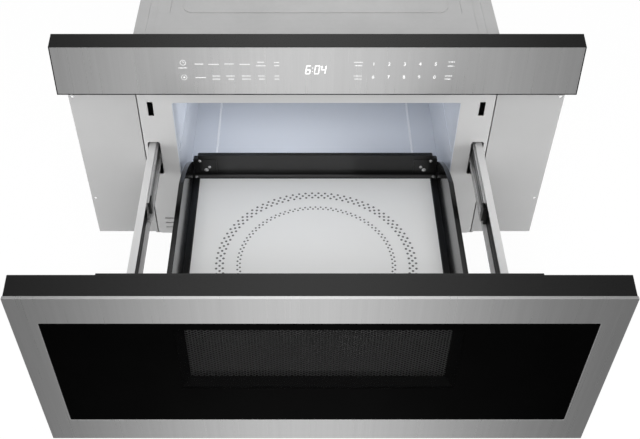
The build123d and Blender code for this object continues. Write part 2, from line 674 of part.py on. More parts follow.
def window_tunnel(grow, rear):
    """Room between glass and screen, narrower at the screen, then straight back."""
    front = Plane.XZ.offset(-glass_rear)
    back = Plane.XZ.offset(-screen_y)
    mid_front = (window_bottom + window_front_top) / 2
    mid_rear = (window_bottom + window_rear_top) / 2
    tall_front = window_front_top - window_bottom + 2 * grow
    tall_rear = window_rear_top - window_bottom + 2 * grow
    mouth = front * Pos(0, mid_front) * Rectangle(WINDOW_FRONT_WIDTH + 2 * grow, tall_front)
    throat = back * Pos(0, mid_rear) * Rectangle(WINDOW_REAR_WIDTH + 2 * grow, tall_rear)
    straight = wide(WINDOW_REAR_WIDTH + 2 * grow, (screen_y, rear),
                    (window_bottom - grow, window_rear_top + grow))
    return loft([mouth, throat]) + straight


def arm_slots():
    """Where the two drawer arms pass into the drawer front."""
    y = (front_rear - BODY_WALL - 1, choke_rear + 1)
    return both(slab((arm_out - ARM_FLANGE - FIT, arm_out + FIT), y, (ARM_BOTTOM - FIT, ARM_TOP + FIT)))


def hook_slots():
    y = (front_rear - BODY_WALL - 1, choke_rear + 1)
    x = (slot_centre - HOOK_WIDTH / 2 - FIT, slot_centre + HOOK_WIDTH / 2 + FIT)
    return both(slab(x, y, (hook_low - FIT, hook_high + FIT)))


def rack_slot():
    y = (front_rear - BODY_WALL - 1, choke_rear + 1)
    z = (rack_pitch_z - MODULE - 2, rack_pitch_z + RACK_BAR + FIT)
    return slab((RACK_X - FIT, RACK_X + GEAR_WIDTH + FIT), y, z)


def door_body():
    half = FACE_WIDTH / 2 - BLACK_INSET
    body = prism_x(front_outline(0, front_rear), (-half, half))
    room = prism_x(front_outline(BODY_WALL, front_rear - BODY_WALL), (-half + BODY_WALL, half - BODY_WALL))
    skin = wide(glass_width + 12, (front_face, glass_rear + BODY_WALL), (glass_bottom - 6, glass_top + 6))
    shell = body - room + (skin & body)
    glass = glass_width / 2 + FIT
    pocket = slab((-glass, glass), (front_face - 1, glass_rear), (glass_bottom - FIT, glass_top + FIT))
    shell = shell + (window_tunnel(2.0, front_rear) & body) - pocket - window_tunnel(0, front_rear + 1)
    return shell - arm_slots() - hook_slots() - rack_slot()


def window_screen():
    return wide(WINDOW_REAR_WIDTH, (screen_y, screen_y + SCREEN_THICKNESS), (window_bottom, window_rear_top))


def inner_window():
    return wide(WINDOW_REAR_WIDTH, (choke_rear - 3, choke_rear - 0.5), (window_bottom, window_rear_top))


def choke_panel():
    half = plate_width / 2 - CHOKE_MARGIN
    rise = (front_rear - front_face - STEEL_RETURN) * TOP_SLOPE
    top = front_top - STEEL + rise
    y = (front_rear, choke_rear)
    panel = wide(2 * half, y, (CHOKE_BOTTOM, top))
    low = window_bottom - 45
    high = cavity_top + 14
    choke = slab((14 - half, half - 14), (front_rear - 1, choke_rear - 1), (low, high))
    choke -= slab((34 - half, half - 34), (front_rear - 2, choke_rear), (low + 20, high - 20))
    opening = wide(WINDOW_REAR_WIDTH, (front_rear - 1, choke_rear + 1), (window_bottom, window_rear_top))
    return panel - choke - opening - arm_slots() - hook_slots() - rack_slot()


def latch_hooks():
    """Sheet hooks that enter the slots beside the cavity and work the interlocks."""
    x = (slot_centre - HOOK_WIDTH / 2, slot_centre + HOOK_WIDTH / 2)
    root = front_rear - BODY_WALL
    tip = choke_rear + HOOK_LENGTH
    hook = slab(x, (root, tip), (hook_low, hook_high))
    hook -= slab((x[0] - 1, x[1] + 1), (tip - 12, tip - 6), (hook_low - 1, hook_low + 5))
    tab = slab((x[0] - 5, x[1] + 5), (root - HOOK_SHEET, root), (hook_low - 3, hook_high + 3))
    return both(hook + tab)


# ---- drawer box ----------------------------------------------------------------------------
def side_wall():
    inside = box_inside / 2
    start = (SIDE_SLOPE_START, SIDE_TOP)
    top = Plane.YZ * Line((choke_rear, SIDE_TOP), start)
    slope = Plane.YZ * ThreePointArc(start, SIDE_SLOPE_MID, SIDE_SLOPE_END)
    corners = [(SIDE_REAR, SIDE_SLOPE_END[1] - 10), (SIDE_REAR, BOX_BOTTOM), (choke_rear, BOX_BOTTOM)]
    rest = Plane.YZ * Polyline(SIDE_SLOPE_END, *corners, (choke_rear, SIDE_TOP))
    face = make_face(top + slope + rest)
    return Pos(inside, 0, 0) * extrude(face, amount=SIDE_THICKNESS, dir=(1, 0, 0))


def back_wall():
    half = box_inside / 2
    y = (BACK_FRONT, BACK_FRONT + BACK_THICKNESS)
    step = half - BACK_SHOULDER_IN
    raised = round_y((-step, step), y, (BOX_BOTTOM, BACK_TOP), BACK_CORNER)
    shoulder = round_y((-half, half), y, (BOX_BOTTOM, BACK_SHOULDER), BACK_CORNER)
    return raised + shoulder + slab((-half, half), y, (BOX_BOTTOM, BACK_SHOULDER - 2 * BACK_CORNER))


def corner_brackets():
    """Folded angles that tie the back wall to the side walls."""
    inside = box_inside / 2
    sheet = BRACKET_SHEET
    z = (TRAY_TOP + TRIM_THICKNESS, BACK_SHOULDER - 1)
    on_back = slab((inside - 38, inside), (BACK_FRONT - sheet, BACK_FRONT), z)
    on_side = slab((inside - sheet, inside), (BACK_FRONT - 16, BACK_FRONT - sheet), (z[0], z[1] - 14))
    return both(on_back + on_side)


def tray_frame():
    """Channel round the ceramic, with the ledge that carries it."""
    inside = box_inside / 2
    under = TRAY_TOP - TRAY_THICKNESS
    y = (choke_rear, BACK_FRONT)
    outer = slab((-inside, inside), y, (under - TRAY_LEDGE, TRAY_TOP))
    ledge_in = inside - TRIM_WIDTH
    hole = slab((-ledge_in, ledge_in), (trim_front, TRIM_REAR), (0, TRAY_TOP + 1))
    return outer - hole - ceramic_blank(FIT, under)


def ceramic_blank(gap, low):
    half = box_inside / 2 - TRIM_WIDTH + TRAY_LAP + gap
    y = (trim_front - TRAY_LAP - gap, TRIM_REAR + TRAY_LAP + gap)
    return slab((-half, half), y, (low, TRAY_TOP + (1 if gap else 0)))


def tray_trim():
    inside = box_inside / 2
    z = (TRAY_TOP, TRAY_TOP + TRIM_THICKNESS)
    ring = slab((-inside, inside), (choke_rear, BACK_FRONT), z)
    half = inside - TRIM_WIDTH
    return ring - slab((-half, half), (trim_front, TRIM_REAR), (z[0] - 1, z[1] + 1))


def drawer_pan():
    inside = box_inside / 2
    floor = slab((-inside, inside), (choke_rear, BACK_FRONT), (BOX_BOTTOM, BOX_BOTTOM + PAN_SHEET))
    low = BOX_BOTTOM + PAN_SHEET
    under = TRAY_TOP - TRAY_THICKNESS
    beam = slab((inside - PAN_BEAM, inside), (choke_rear, BACK_FRONT), (low, under - TRAY_LEDGE))
    rib = box_inside - 2 * (PAN_BEAM + PAN_RIB_GAP)
    pitch = (BACK_FRONT - choke_rear) / 4
    places = [choke_rear + n * pitch for n in (1, 2, 3)]
    ribs = [wide(rib, (y - 3, y + 3), (low, under - RIB_GAP)) for y in places]
    return floor + both(beam) + ribs


def drawer_screws():
    """Pan-head screws that show at the rear corners of the drawer box."""
    y = BACK_FRONT - BRACKET_SHEET
    side = box_inside / 2
    screws = []
    for set_in, rise, radius in ((10.7, 31.2, 2.6), (25.9, 17.6, 2.6), (20.4, 11.2, 3.6)):
        screws.append(both(rod_y(side - set_in, (y - SCREW_HEAD, y), TRAY_TOP + rise, radius)))
    trim_top = TRAY_TOP + TRIM_THICKNESS
    corner = rod_z(side - 3.9, TRIM_REAR + 1.6, (trim_top, trim_top + SCREW_HEAD), 2.8)
    return Part() + screws + [both(corner)]


# ---- telescopic slides ---------------------------------------------------------------------
def drawer_arm():
    root = front_rear - BODY_WALL
    web = slab((rail_web, arm_out), (root, ARM_REAR), (ARM_BOTTOM, ARM_TOP))
    inner = arm_out - ARM_FLANGE
    flange = slab((inner, arm_out), (root, ARM_REAR), (ARM_TOP - ARM_SHEET, ARM_TOP))
    tab = slab((inner - 16, arm_out), (root - ARM_SHEET, root), (ARM_BOTTOM + 4, ARM_TOP))
    return web + flange + tab


def drawer_rail():
    y = (DRAWER_RAIL_REAR - rail_length, DRAWER_RAIL_REAR)
    web = slab((rail_web - SLIDE_SHEET, rail_web), y, (DRAWER_RAIL_LOW, DRAWER_RAIL_HIGH))
    reach = (rail_web - DRAWER_RAIL_FLANGE, rail_web)
    low = slab(reach, y, (DRAWER_RAIL_LOW, DRAWER_RAIL_LOW + SLIDE_SHEET))
    high = slab(reach, y, (DRAWER_RAIL_HIGH - SLIDE_SHEET, DRAWER_RAIL_HIGH))
    return web + low + high


def middle_rail():
    y = (middle_front, middle_front + rail_length)
    web = slab((mid_web - SLIDE_SHEET, mid_web), y, (mid_low, mid_high))
    reach = (fixed_in + SLIDE_SHEET + RAIL_EDGE_GAP, rail_web - SLIDE_SHEET - RAIL_EDGE_GAP)
    low = slab(reach, y, (mid_low, mid_low + SLIDE_SHEET))
    high = slab(reach, y, (mid_high - SLIDE_SHEET, mid_high))
    return web + low + high


def fixed_rail():
    y = (FIXED_RAIL_FRONT, FIXED_RAIL_FRONT + rail_length)
    web = slab((fixed_in, fixed_in + SLIDE_SHEET), y, (fixed_low, fixed_high))
    reach = (fixed_in, mid_web - SLIDE_SHEET - RAIL_EDGE_GAP)
    low = slab(reach, y, (fixed_low, fixed_low + SLIDE_SHEET))
    high = slab(reach, y, (fixed_high - SLIDE_SHEET, fixed_high))
    return web + low + high


def end_stop(place):
    """Moulded block at the front end of a middle rail; its inner half runs into the fixed rail."""
    y = (middle_front + place[0], middle_front + place[1])
    inner = (fixed_in + SLIDE_SHEET + STOP_GAP, mid_web - SLIDE_SHEET)
    z = (fixed_low + SLIDE_SHEET + STOP_GAP, fixed_high - SLIDE_SHEET - STOP_GAP)
    outer = (inner[1] - 0.5, rail_web - SLIDE_SHEET - STOP_GAP)
    return slab(inner, y, z) + slab(outer, (y[0], middle_front), (mid_low, mid_high))


def ball_cage(y, x, z):
    """Strip of balls between the flanges of two rails."""
    strip = slab((x - CAGE_HALF, x + CAGE_HALF), y, (z - 0.5, z + 0.5))
    count = int((y[1] - y[0]) // BALL_PITCH)
    start = (y[0] + y[1] - (count - 1) * BALL_PITCH) / 2
    balls = [Pos(x, start + n * BALL_PITCH, z) * Sphere(BALL / 2) for n in range(count)]
    return strip + balls


def inner_cages():
    x = mid_web - SLIDE_SHEET - FIXED_GAP / 2
    low = mid_low + SLIDE_SHEET + BALL_ROOM / 2
    high = mid_high - SLIDE_SHEET - BALL_ROOM / 2
    return both(ball_cage(INNER_CAGE, x, low) + ball_cage(INNER_CAGE, x, high))


def outer_cages():
    x = mid_web + RAIL_GAP / 2
    outer_cage = (middle_front + OUTER_CAGE_SET_BACK, OUTER_CAGE_REAR)
    low = DRAWER_RAIL_LOW + SLIDE_SHEET + BALL_ROOM / 2
    high = DRAWER_RAIL_HIGH - SLIDE_SHEET - BALL_ROOM / 2
    return both(ball_cage(outer_cage, x, low) + ball_cage(outer_cage, x, high))


def slide_supports():
    """Z-section sheets from the base to the fixed rails."""
    x = (fixed_in - SHEET, fixed_in)
    y = (8, FIXED_RAIL_FRONT + rail_length + 10)
    web = slab(x, y, (SHEET, fixed_high + 10))
    foot = slab((fixed_in - SHEET - 16, fixed_in - SHEET), y, (SHEET, 2 * SHEET))
    windows = [slab((x[0] - 1, x[1] + 1), (60 + 120 * n, 130 + 120 * n), (30, 120)) for n in range(3)]
    return both(web + foot - windows)


# ---- drive ---------------------------------------------------------------------------------
def drive_rack():
    """Bar with its teeth downwards, from the drawer front to behind the face plate."""
    front = front_rear - BODY_WALL
    rear = RACK_REAR
    tip = rack_pitch_z - 0.85 * MODULE
    root = rack_pitch_z + 1.25 * MODULE
    half = (tooth_pitch - BACKLASH) / 4
    slope = math.tan(PRESSURE)
    first = math.ceil((choke_rear + 12 - PINION_Y) / tooth_pitch)
    last = math.floor((rear - 4 - PINION_Y) / tooth_pitch)
    outline = [(front, rack_pitch_z + RACK_BAR), (front, root)]
    for n in range(first, last + 1):
        y = PINION_Y + n * tooth_pitch
        at_root = half + (root - rack_pitch_z) * slope
        at_tip = half - (rack_pitch_z - tip) * slope
        outline += [(y - at_root, root), (y - at_tip, tip), (y + at_tip, tip), (y + at_root, root)]
    outline += [(rear, root), (rear, rack_pitch_z + RACK_BAR)]
    tab = slab((RACK_X - 6, RACK_X + GEAR_WIDTH + 6), (front - 2, front), (root, rack_pitch_z + RACK_BAR + 6))
    return prism_x(outline, (RACK_X, RACK_X + GEAR_WIDTH)) + tab


def involute(angle):
    return math.tan(angle) - angle


def drive_pinion():
    base = pitch_radius * math.cos(PRESSURE)
    tip = pitch_radius + MODULE
    root = pitch_radius - 1.25 * MODULE
    half = (tooth_pitch - BACKLASH) / 4 / pitch_radius
    steps = 5
    flank = [(root, half + involute(PRESSURE))]
    for n in range(steps + 1):
        radius = base + (tip - base) * n / steps
        flank.append((radius, half + involute(PRESSURE) - involute(math.acos(base / radius))))
    outline = []
    for tooth in range(PINION_TEETH):
        middle = (tooth + 0.5) * 2 * math.pi / PINION_TEETH
        profile = [(r, middle - a) for r, a in flank] + [(r, middle + a) for r, a in reversed(flank)]
        outline += [(PINION_Y + r * math.sin(a), PINION_Z + r * math.cos(a)) for r, a in profile]
    gear = prism_x(outline, (RACK_X + 0.5, RACK_X + GEAR_WIDTH - 0.5))
    return gear - rod_x((RACK_X - 1, RACK_X + GEAR_WIDTH + 1), PINION_Y, PINION_Z, SHAFT_R)


def pinion_shaft():
    return rod_x((RACK_X - 12, RACK_X + GEAR_WIDTH + 16), PINION_Y, PINION_Z, SHAFT_R)


def drive_motor():
    start = RACK_X + GEAR_WIDTH + 4
    end = start + GEARBOX
    gearbox = slab((start, end), (PINION_Y - 17, PINION_Y + 24), (PINION_Z - GEARBOX_DROP, PINION_Z + 18))
    can = rod_x((end, end + MOTOR_LENGTH), PINION_Y + 4, PINION_Z - 2, MOTOR_R)
    return gearbox + can - rod_x((start - 1, start + 16), PINION_Y, PINION_Z, SHAFT_R + RUN)


def drive_bracket():
    """Stands on the base, holds the motor and the free end of the shaft."""
    x = RACK_X - 10
    ear = slab((x, x + 3), (PINION_Y - 14, PINION_Y + 14), (SHEET, PINION_Z + 9))
    ear -= rod_x((x - 1, x + 4), PINION_Y, PINION_Z, SHAFT_R + RUN)
    start = RACK_X + GEAR_WIDTH + 4
    low = PINION_Z - GEARBOX_DROP
    shelf = slab((start, start + GEARBOX), (PINION_Y - 17, PINION_Y + 24), (SHEET, low))
    shelf -= slab((start + 2, start + GEARBOX - 2), (PINION_Y - 18, PINION_Y + 25), (2 * SHEET, low - SHEET))
    tie = slab((x + 3, start), (PINION_Y - 14, PINION_Y + 14), (SHEET, 2 * SHEET))
    return ear + shelf + tie


# ---- interlocks ----------------------------------------------------------------------------
def plunger(side):
    x = side * slot_centre
    z = (hook_low + hook_high) / 2
    return rod_y(x, (plunger_tip, plunger_tip + PLUNGER_LENGTH), z, PLUNGER_R)


def interlock_switches():
    z = (hook_low + hook_high) / 2
    rear = switch_front + SWITCH_DEPTH
    body = slab((slot_centre - SWITCH_HALF, slot_centre + SWITCH_HALF), (switch_front, rear), (z - 10, z + 10))
    bore_end = plunger_tip + PLUNGER_LENGTH + PLUNGER_TRAVEL + 1
    body -= rod_y(slot_centre, (switch_front - 1, bore_end), z, PLUNGER_R + RUN)
    pin_x = (slot_centre - 3, slot_centre - 2.2)
    pins = [slab(pin_x, (rear, rear + 7), (z + d, z + d + 4)) for d in (-8, -2, 4)]
    return both(body + pins)


def interlock_holders():
    """Angle plates behind the face plate that carry the switches."""
    x = slot_centre - SWITCH_HALF - 2
    rear = switch_front + SWITCH_DEPTH
    wall = slab((x, x + 2), (0, rear), (hook_low - 8, hook_high + 8))
    foot = slab((x - 7, x), (0, 2), (hook_low - 8, hook_high + 8))
    return both(wall + foot)


def chassis_screws():
    """Hex screws that close the wrap on the base and the back."""
    screws = []
    side = BODY_WIDTH / 2
    for y in (60, BODY_DEPTH / 2, BODY_DEPTH - 60):
        screws.append(both(rod_x((side, side + 2), y, 8, 4)))
    for x in (80, side - 38):
        for z in (10, BODY_HEIGHT - 12):
            screws.append(both(rod_y(x, (BODY_DEPTH, BODY_DEPTH + 2), z, 4)))
    return Part() + screws


# ---- the whole drawer, piece by piece -------------------------------------------------------
nodes["base_plate"] = base_plate()
nodes["cabinet_wrap"] = cabinet_wrap()
nodes["back_panel"] = back_panel()
nodes["front_plate"] = front_plate()
nodes["face_flanges"] = both(face_flange())
nodes["chassis_screws"] = chassis_screws()
nodes["cavity_liner"] = cavity_liner()
nodes["lamp_holder"] = lamp_holder()
nodes["cavity_lamp"] = cavity_lamp()
nodes["stirrer_cover"] = stirrer_cover()
nodes["stirrer_blades"] = stirrer_blades()
nodes["stirrer_motor"] = stirrer_motor()
nodes["waveguide"] = waveguide()
nodes["magnetron"] = magnetron()
nodes["magnetron_fins"] = magnetron_fins()
nodes["air_duct"] = air_duct()
nodes["transformer_core"] = transformer_core()
nodes["transformer_windings"] = transformer_windings()
nodes["capacitor"] = capacitor()
nodes["fan_housing"] = fan_housing()
nodes["fan_motor"] = fan_motor()
nodes["fan_blades"] = fan_blades()
nodes["thermal_cutout"] = thermal_cutout()
nodes["filter_board"] = filter_board()
nodes["cord_gland"] = cord_gland()
nodes["control_housing"] = control_housing()
nodes["control_fascia"] = fascia_blank(0.1)
nodes["control_board"] = control_board()
nodes["display_module"] = display_module()
nodes["drawer_steel_frame"] = steel_frame()
nodes["drawer_glass"] = drawer_glass()
nodes["drawer_door_body"] = door_body()
nodes["window_screen"] = window_screen()
nodes["inner_window"] = inner_window()
nodes["choke_panel"] = choke_panel()
nodes["latch_hooks"] = latch_hooks()
nodes["drawer_side_walls"] = both(side_wall())
nodes["drawer_back_wall"] = back_wall()
nodes["corner_brackets"] = corner_brackets()
nodes["tray_frame"] = tray_frame()
nodes["ceramic_tray"] = ceramic_blank(0, TRAY_TOP - TRAY_THICKNESS)
nodes["tray_trim"] = tray_trim()
nodes["drawer_pan"] = drawer_pan()
nodes["drawer_screws"] = drawer_screws()
nodes["drawer_arms"] = both(drawer_arm())
nodes["drawer_rails"] = both(drawer_rail())
nodes["middle_rails"] = both(middle_rail())
nodes["rail_end_stops"] = end_stop(STOP_RIGHT) + mirror(end_stop(STOP_LEFT), about=Plane.YZ)
nodes["fixed_rails"] = both(fixed_rail())
nodes["inner_ball_cages"] = inner_cages()
nodes["outer_ball_cages"] = outer_cages()
nodes["slide_supports"] = slide_supports()
nodes["drive_rack"] = drive_rack()
nodes["drive_pinion"] = drive_pinion() + pinion_shaft()
nodes["drive_motor"] = drive_motor()
nodes["drive_bracket"] = drive_bracket()
nodes["interlock_switches"] = interlock_switches()
nodes["interlock_holders"] = interlock_holders()
nodes["left_interlock_plunger"] = plunger(-1)
nodes["right_interlock_plunger"] = plunger(1)

os.makedirs("parts", exist_ok=True)
for name, shape in nodes.items():
    export_step(Pos(0, -BODY_DEPTH / 2, 0) * shape, f"parts/{name}.step")
print(len(nodes), "nodes")
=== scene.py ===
import math

import bmesh
import bpy
from mathutils import Matrix, Vector


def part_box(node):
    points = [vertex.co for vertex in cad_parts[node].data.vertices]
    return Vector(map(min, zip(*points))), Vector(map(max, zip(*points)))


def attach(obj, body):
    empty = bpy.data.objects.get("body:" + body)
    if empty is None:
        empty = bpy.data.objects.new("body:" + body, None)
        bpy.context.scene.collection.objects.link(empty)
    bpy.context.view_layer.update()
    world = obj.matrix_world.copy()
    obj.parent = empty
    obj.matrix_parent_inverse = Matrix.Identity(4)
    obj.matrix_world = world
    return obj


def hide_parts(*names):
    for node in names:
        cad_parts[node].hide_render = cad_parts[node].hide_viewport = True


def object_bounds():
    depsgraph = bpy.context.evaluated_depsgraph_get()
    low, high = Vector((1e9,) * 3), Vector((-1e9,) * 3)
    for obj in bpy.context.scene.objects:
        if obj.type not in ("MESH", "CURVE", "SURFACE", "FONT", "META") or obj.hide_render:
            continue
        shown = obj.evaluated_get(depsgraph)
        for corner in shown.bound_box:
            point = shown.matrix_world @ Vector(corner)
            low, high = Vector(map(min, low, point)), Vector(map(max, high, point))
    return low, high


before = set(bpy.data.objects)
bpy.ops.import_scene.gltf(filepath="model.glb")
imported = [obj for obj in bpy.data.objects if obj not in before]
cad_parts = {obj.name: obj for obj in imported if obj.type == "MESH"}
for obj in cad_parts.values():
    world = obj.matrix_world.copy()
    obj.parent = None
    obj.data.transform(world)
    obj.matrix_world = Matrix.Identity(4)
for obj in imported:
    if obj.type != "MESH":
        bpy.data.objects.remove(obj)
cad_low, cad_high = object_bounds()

# ---- camera -------------------------------------------------------------------------------------
# It stands in front of the open drawer and looks down into it, as the photograph does. A small shift
# puts the object where it lies in the photograph's frame.
camera = bpy.data.objects.new("camera", bpy.data.cameras.new("camera"))
bpy.context.scene.collection.objects.link(camera)
camera.location = (-0.02024, -1.36957, 1.16809)
camera.rotation_euler = (math.radians(90 - 46.19), 0, 0)
camera.data.sensor_width = 36
camera.data.lens = 51.2
camera.data.shift_x = 17 / 640
bpy.context.scene.camera = camera
bpy.context.scene.view_settings.view_transform = "Standard"


# ---- studio -------------------------------------------------------------------------------------
# A pale floor under a dome of soft light that is brightest along the middle, as from a tall white
# screen. Wide soft lamps hang overhead, in front and at both sides; a small one lights the cavity.
class Reading:
    """A number, colour or vector given by a shader node. Arithmetic on numbers adds Math nodes."""

    def __init__(self, shading, socket):
        self.shading = shading
        self.socket = socket

    def maths(self, operation, *values):
        return self.shading.read("ShaderNodeMath", {"operation": operation}, dict(enumerate(values)))

    def __add__(self, other):
        return self.maths("ADD", self, other)

    def __sub__(self, other):
        return self.maths("SUBTRACT", self, other)

    def __rsub__(self, other):
        return self.maths("SUBTRACT", other, self)

    def __mul__(self, other):
        return self.maths("MULTIPLY", self, other)

    def __truediv__(self, other):
        return self.maths("DIVIDE", self, other)

    def __lt__(self, other):
        return self.maths("LESS_THAN", self, other)

    def __gt__(self, other):
        return self.maths("GREATER_THAN", self, other)

    def __mod__(self, other):
        return self.maths("FLOORED_MODULO", self, other)

    def __abs__(self):
        return self.maths("ABSOLUTE", self)

    __radd__ = __add__
    __rmul__ = __mul__


class Shading:
    """The nodes of one material, or of the world."""

    def __init__(self, tree):
        self.tree = tree
        tree.nodes.clear()

    def node(self, kind, settings=None, inputs=None):
        """Adds a node: its settings first, then the values or links of its sockets."""
        made = self.tree.nodes.new(kind)
        for name, value in (settings or {}).items():
            if name == "stops":
                ramp = made.color_ramp.elements
                while len(ramp) < len(value):
                    ramp.new(1)
                for stop, (place, level) in zip(ramp, value):
                    stop.position = place
                    stop.color = (level, level, level, 1)
            else:
                setattr(made, name, value)
        for name, value in (inputs or {}).items():
            if isinstance(value, Reading):
                self.tree.links.new(value.socket, made.inputs[name])
            else:
                made.inputs[name].default_value = value
        return made

    def read(self, kind, settings=None, inputs=None, output=0):
        """Adds a node and gives one of its outputs."""
        return Reading(self, self.node(kind, settings, inputs).outputs[output])

    def axes(self, place):
        """The three parts of a vector."""
        split = self.node("ShaderNodeSeparateXYZ", {}, {0: place})
        return [Reading(self, socket) for socket in split.outputs]

    def mix(self, factor, first, second):
        """Colour between two colours."""
        settings = {"data_type": "RGBA"}
        return self.read("ShaderNodeMix", settings, {0: factor, 6: first, 7: second}, 2)


def soft_lamp(name, place, aim, size, watts):
    """Wide lamp that lights the object but isn't seen or mirrored."""
    lamp = bpy.data.objects.new(name, bpy.data.lights.new(name, "AREA"))
    bpy.context.scene.collection.objects.link(lamp)
    lamp.data.shape = "RECTANGLE"
    lamp.data.size, lamp.data.size_y = size
    lamp.data.energy = watts
    lamp.location = place
    lamp.rotation_euler = (Vector(aim) - Vector(place)).to_track_quat("-Z", "Y").to_euler()
    lamp.visible_glossy = False
    lamp.visible_camera = False


soft_lamp("overhead_lamp", (0, -0.5, 2.6), (0, -0.3, 0), (2.2, 2.2), 28)
soft_lamp("front_lamp", (0, -2.6, 1.9), (0, -0.3, 0.2), (2.4, 1.6), 44)
for side in (-1, 1):
    soft_lamp("side_lamp", (side * 1.6, -1.15, 0.3), (side * 0.2, -0.28, 0.08), (0.9, 0.6), 14)
soft_lamp("cavity_fill", (-0.045, -0.26, 0.2), (-0.045, 0.1, 0.2), (0.22, 0.16), 0.36)

world = bpy.data.worlds.new("studio")
bpy.context.scene.world = world
world.use_nodes = True
dome = Shading(world.node_tree)
ray = dome.node("ShaderNodeLightPath")
plain = Reading(dome, ray.outputs["Is Camera Ray"]) + Reading(dome, ray.outputs["Is Transmission Ray"])
across, _, up = dome.axes(dome.read("ShaderNodeTexCoord", {}, {}, "Generated"))
BRIGHTEST = 1.38            # level of the dome along its middle, of which the stops are parts
LOW_STOPS = [(0, 1), (0.07, 0.95), (0.16, 0.5), (0.27, 0.17), (0.45, 0.17), (0.65, 0.45), (1, 0.55)]
HIGH_STOPS = [(0, 0.97), (0.1, 0.8), (0.2, 0.3), (0.3, 0.05), (0.45, 0.08), (0.65, 0.35), (1, 0.5)]
DEPTH_STOPS = [(0, 1), (0.45, 1), (0.757, 0.83), (0.857, 0.7), (1, 0.6)]
low_dome = dome.read("ShaderNodeValToRGB", {"stops": LOW_STOPS}, {0: abs(across)})
high_dome = dome.read("ShaderNodeValToRGB", {"stops": HIGH_STOPS}, {0: abs(across)})
depth = dome.read("ShaderNodeValToRGB", {"stops": DEPTH_STOPS}, {0: 0 - up})
falling = BRIGHTEST * (low_dome * depth * (1 - (up > 0)) + high_dome * (up > 0))
strength = plain + (1 - plain) * falling
backdrop = dome.read("ShaderNodeBackground", {}, {"Color": (1, 1, 1, 1), "Strength": strength})
dome.node("ShaderNodeOutputWorld", {}, {"Surface": backdrop})

FLOOR_SIZE = 16
FLOOR_GAP = 0.0004          # keeps the floor clear of the base that stands on it
floor_mesh = bpy.data.meshes.new("floor")
bm = bmesh.new()
bmesh.ops.create_grid(bm, x_segments=1, y_segments=1, size=FLOOR_SIZE / 2)
bm.to_mesh(floor_mesh)
bm.free()
floor = bpy.data.objects.new("floor", floor_mesh)
bpy.context.scene.collection.objects.link(floor)
floor.location.z = cad_low.z - FLOOR_GAP
floor.visible_glossy = False
pale = bpy.data.materials.new("pale_floor")
pale.use_nodes = True
paint = Shading(pale.node_tree)
ray = paint.node("ShaderNodeLightPath")
seen = Reading(paint, ray.outputs["Is Camera Ray"]) + Reading(paint, ray.outputs["Is Glossy Ray"])
seen = seen + Reading(paint, ray.outputs["Is Transmission Ray"])
SHADOW_LEFT = 0.05          # how much of the real floor, with its shadow, stays in the white
cover = paint.read("ShaderNodeBsdfDiffuse", {}, {"Color": (0.9, 0.9, 0.9, 1)})
white = paint.read("ShaderNodeEmission", {}, {"Strength": 1})
blend = paint.read("ShaderNodeMixShader", {}, {0: seen * (1 - SHADOW_LEFT), 1: cover, 2: white})
paint.node("ShaderNodeOutputMaterial", {}, {"Surface": blend})
floor_mesh.materials.append(pale)


# ---- chassis sheets -----------------------------------------------------------------------------
# Base, wrap and back are cut and folded from zinc-coated steel sheet, 1 to 1.2 mm thick. The wrap has
# a channel pressed into its top for stiffness. Sheared and folded edges are slightly rounded.
def grey(level, warm=0.0):
    """A neutral colour by the brightness it shows on a screen, 0 to 255."""
    value = level / 255
    linear = value / 12.92 if value <= 0.04045 else ((value + 0.055) / 1.055) ** 2.4
    return (linear * (1 + warm), linear, linear * (1 - warm), 1)


class Finish(Shading):
    """A surface finish, worked out on the object's own coordinates."""

    def __init__(self, name):
        self.material = bpy.data.materials.new(name)
        self.material.use_nodes = True
        super().__init__(self.material.node_tree)
        self.place = self.read("ShaderNodeTexCoord", {}, {}, "Object")

    def noise(self, stretch, detail=3.0):
        """Cloudy pattern; stretch is how many features there are to a metre along each axis."""
        place = self.read("ShaderNodeMapping", {}, {"Vector": self.place, "Scale": stretch})
        return self.read("ShaderNodeTexNoise", {}, {"Vector": place, "Scale": 1, "Detail": detail})

    def facing(self, axis):
        """How squarely the surface faces along an axis, from -1 to 1."""
        return self.axes(self.read("ShaderNodeNewGeometry", {}, {}, "Normal"))[axis]

    def cells(self, stretch):
        """Flat patches with a random level each."""
        place = self.read("ShaderNodeMapping", {}, {"Vector": self.place, "Scale": stretch})
        patch = self.read("ShaderNodeTexVoronoi", {}, {"Vector": place, "Scale": 1}, "Color")
        return self.axes(patch)[0]

    def bump(self, height, depth, strength=1.0):
        """Relief of that depth in metres."""
        inputs = {"Height": height, "Distance": depth, "Strength": strength}
        return self.read("ShaderNodeBump", {}, inputs)

    def surface(self, colour, roughness, metallic=0.0, normal=None, more=None):
        """Closes the finish and gives its material."""
        inputs = {"Base Color": colour, "Roughness": roughness, "Metallic": metallic}
        inputs.update(more or {})
        if normal:
            inputs["Normal"] = normal
        skin = self.read("ShaderNodeBsdfPrincipled", {}, inputs)
        self.node("ShaderNodeOutputMaterial", {}, {"Surface": skin})
        return self.material


WELD = 0.000002             # corners this near each other are one
SQUARE = math.radians(32)   # edges that turn more than this are rounded
SHARP = math.radians(40)    # edges that still turn more than this are shaded as an edge


def copy_of(node):
    """Mesh of a CAD node with its triangles joined up into flat faces."""
    bm = bmesh.new()
    bm.from_mesh(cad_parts[node].data)
    bmesh.ops.remove_doubles(bm, verts=bm.verts, dist=WELD)
    bmesh.ops.dissolve_limit(bm, angle_limit=math.radians(0.5), verts=bm.verts, edges=bm.edges)
    return bm


def round_edges(bm, radius, segments=2):
    """Takes the sharpness off every edge that turns a corner."""
    folds = [e for e in bm.edges if e.is_manifold and e.calc_face_angle() > SQUARE]
    bmesh.ops.bevel(bm, geom=folds, offset=radius, offset_type="OFFSET", affect="EDGES",
                    segments=segments, profile=0.5, material=-1, loop_slide=True, clamp_overlap=False)


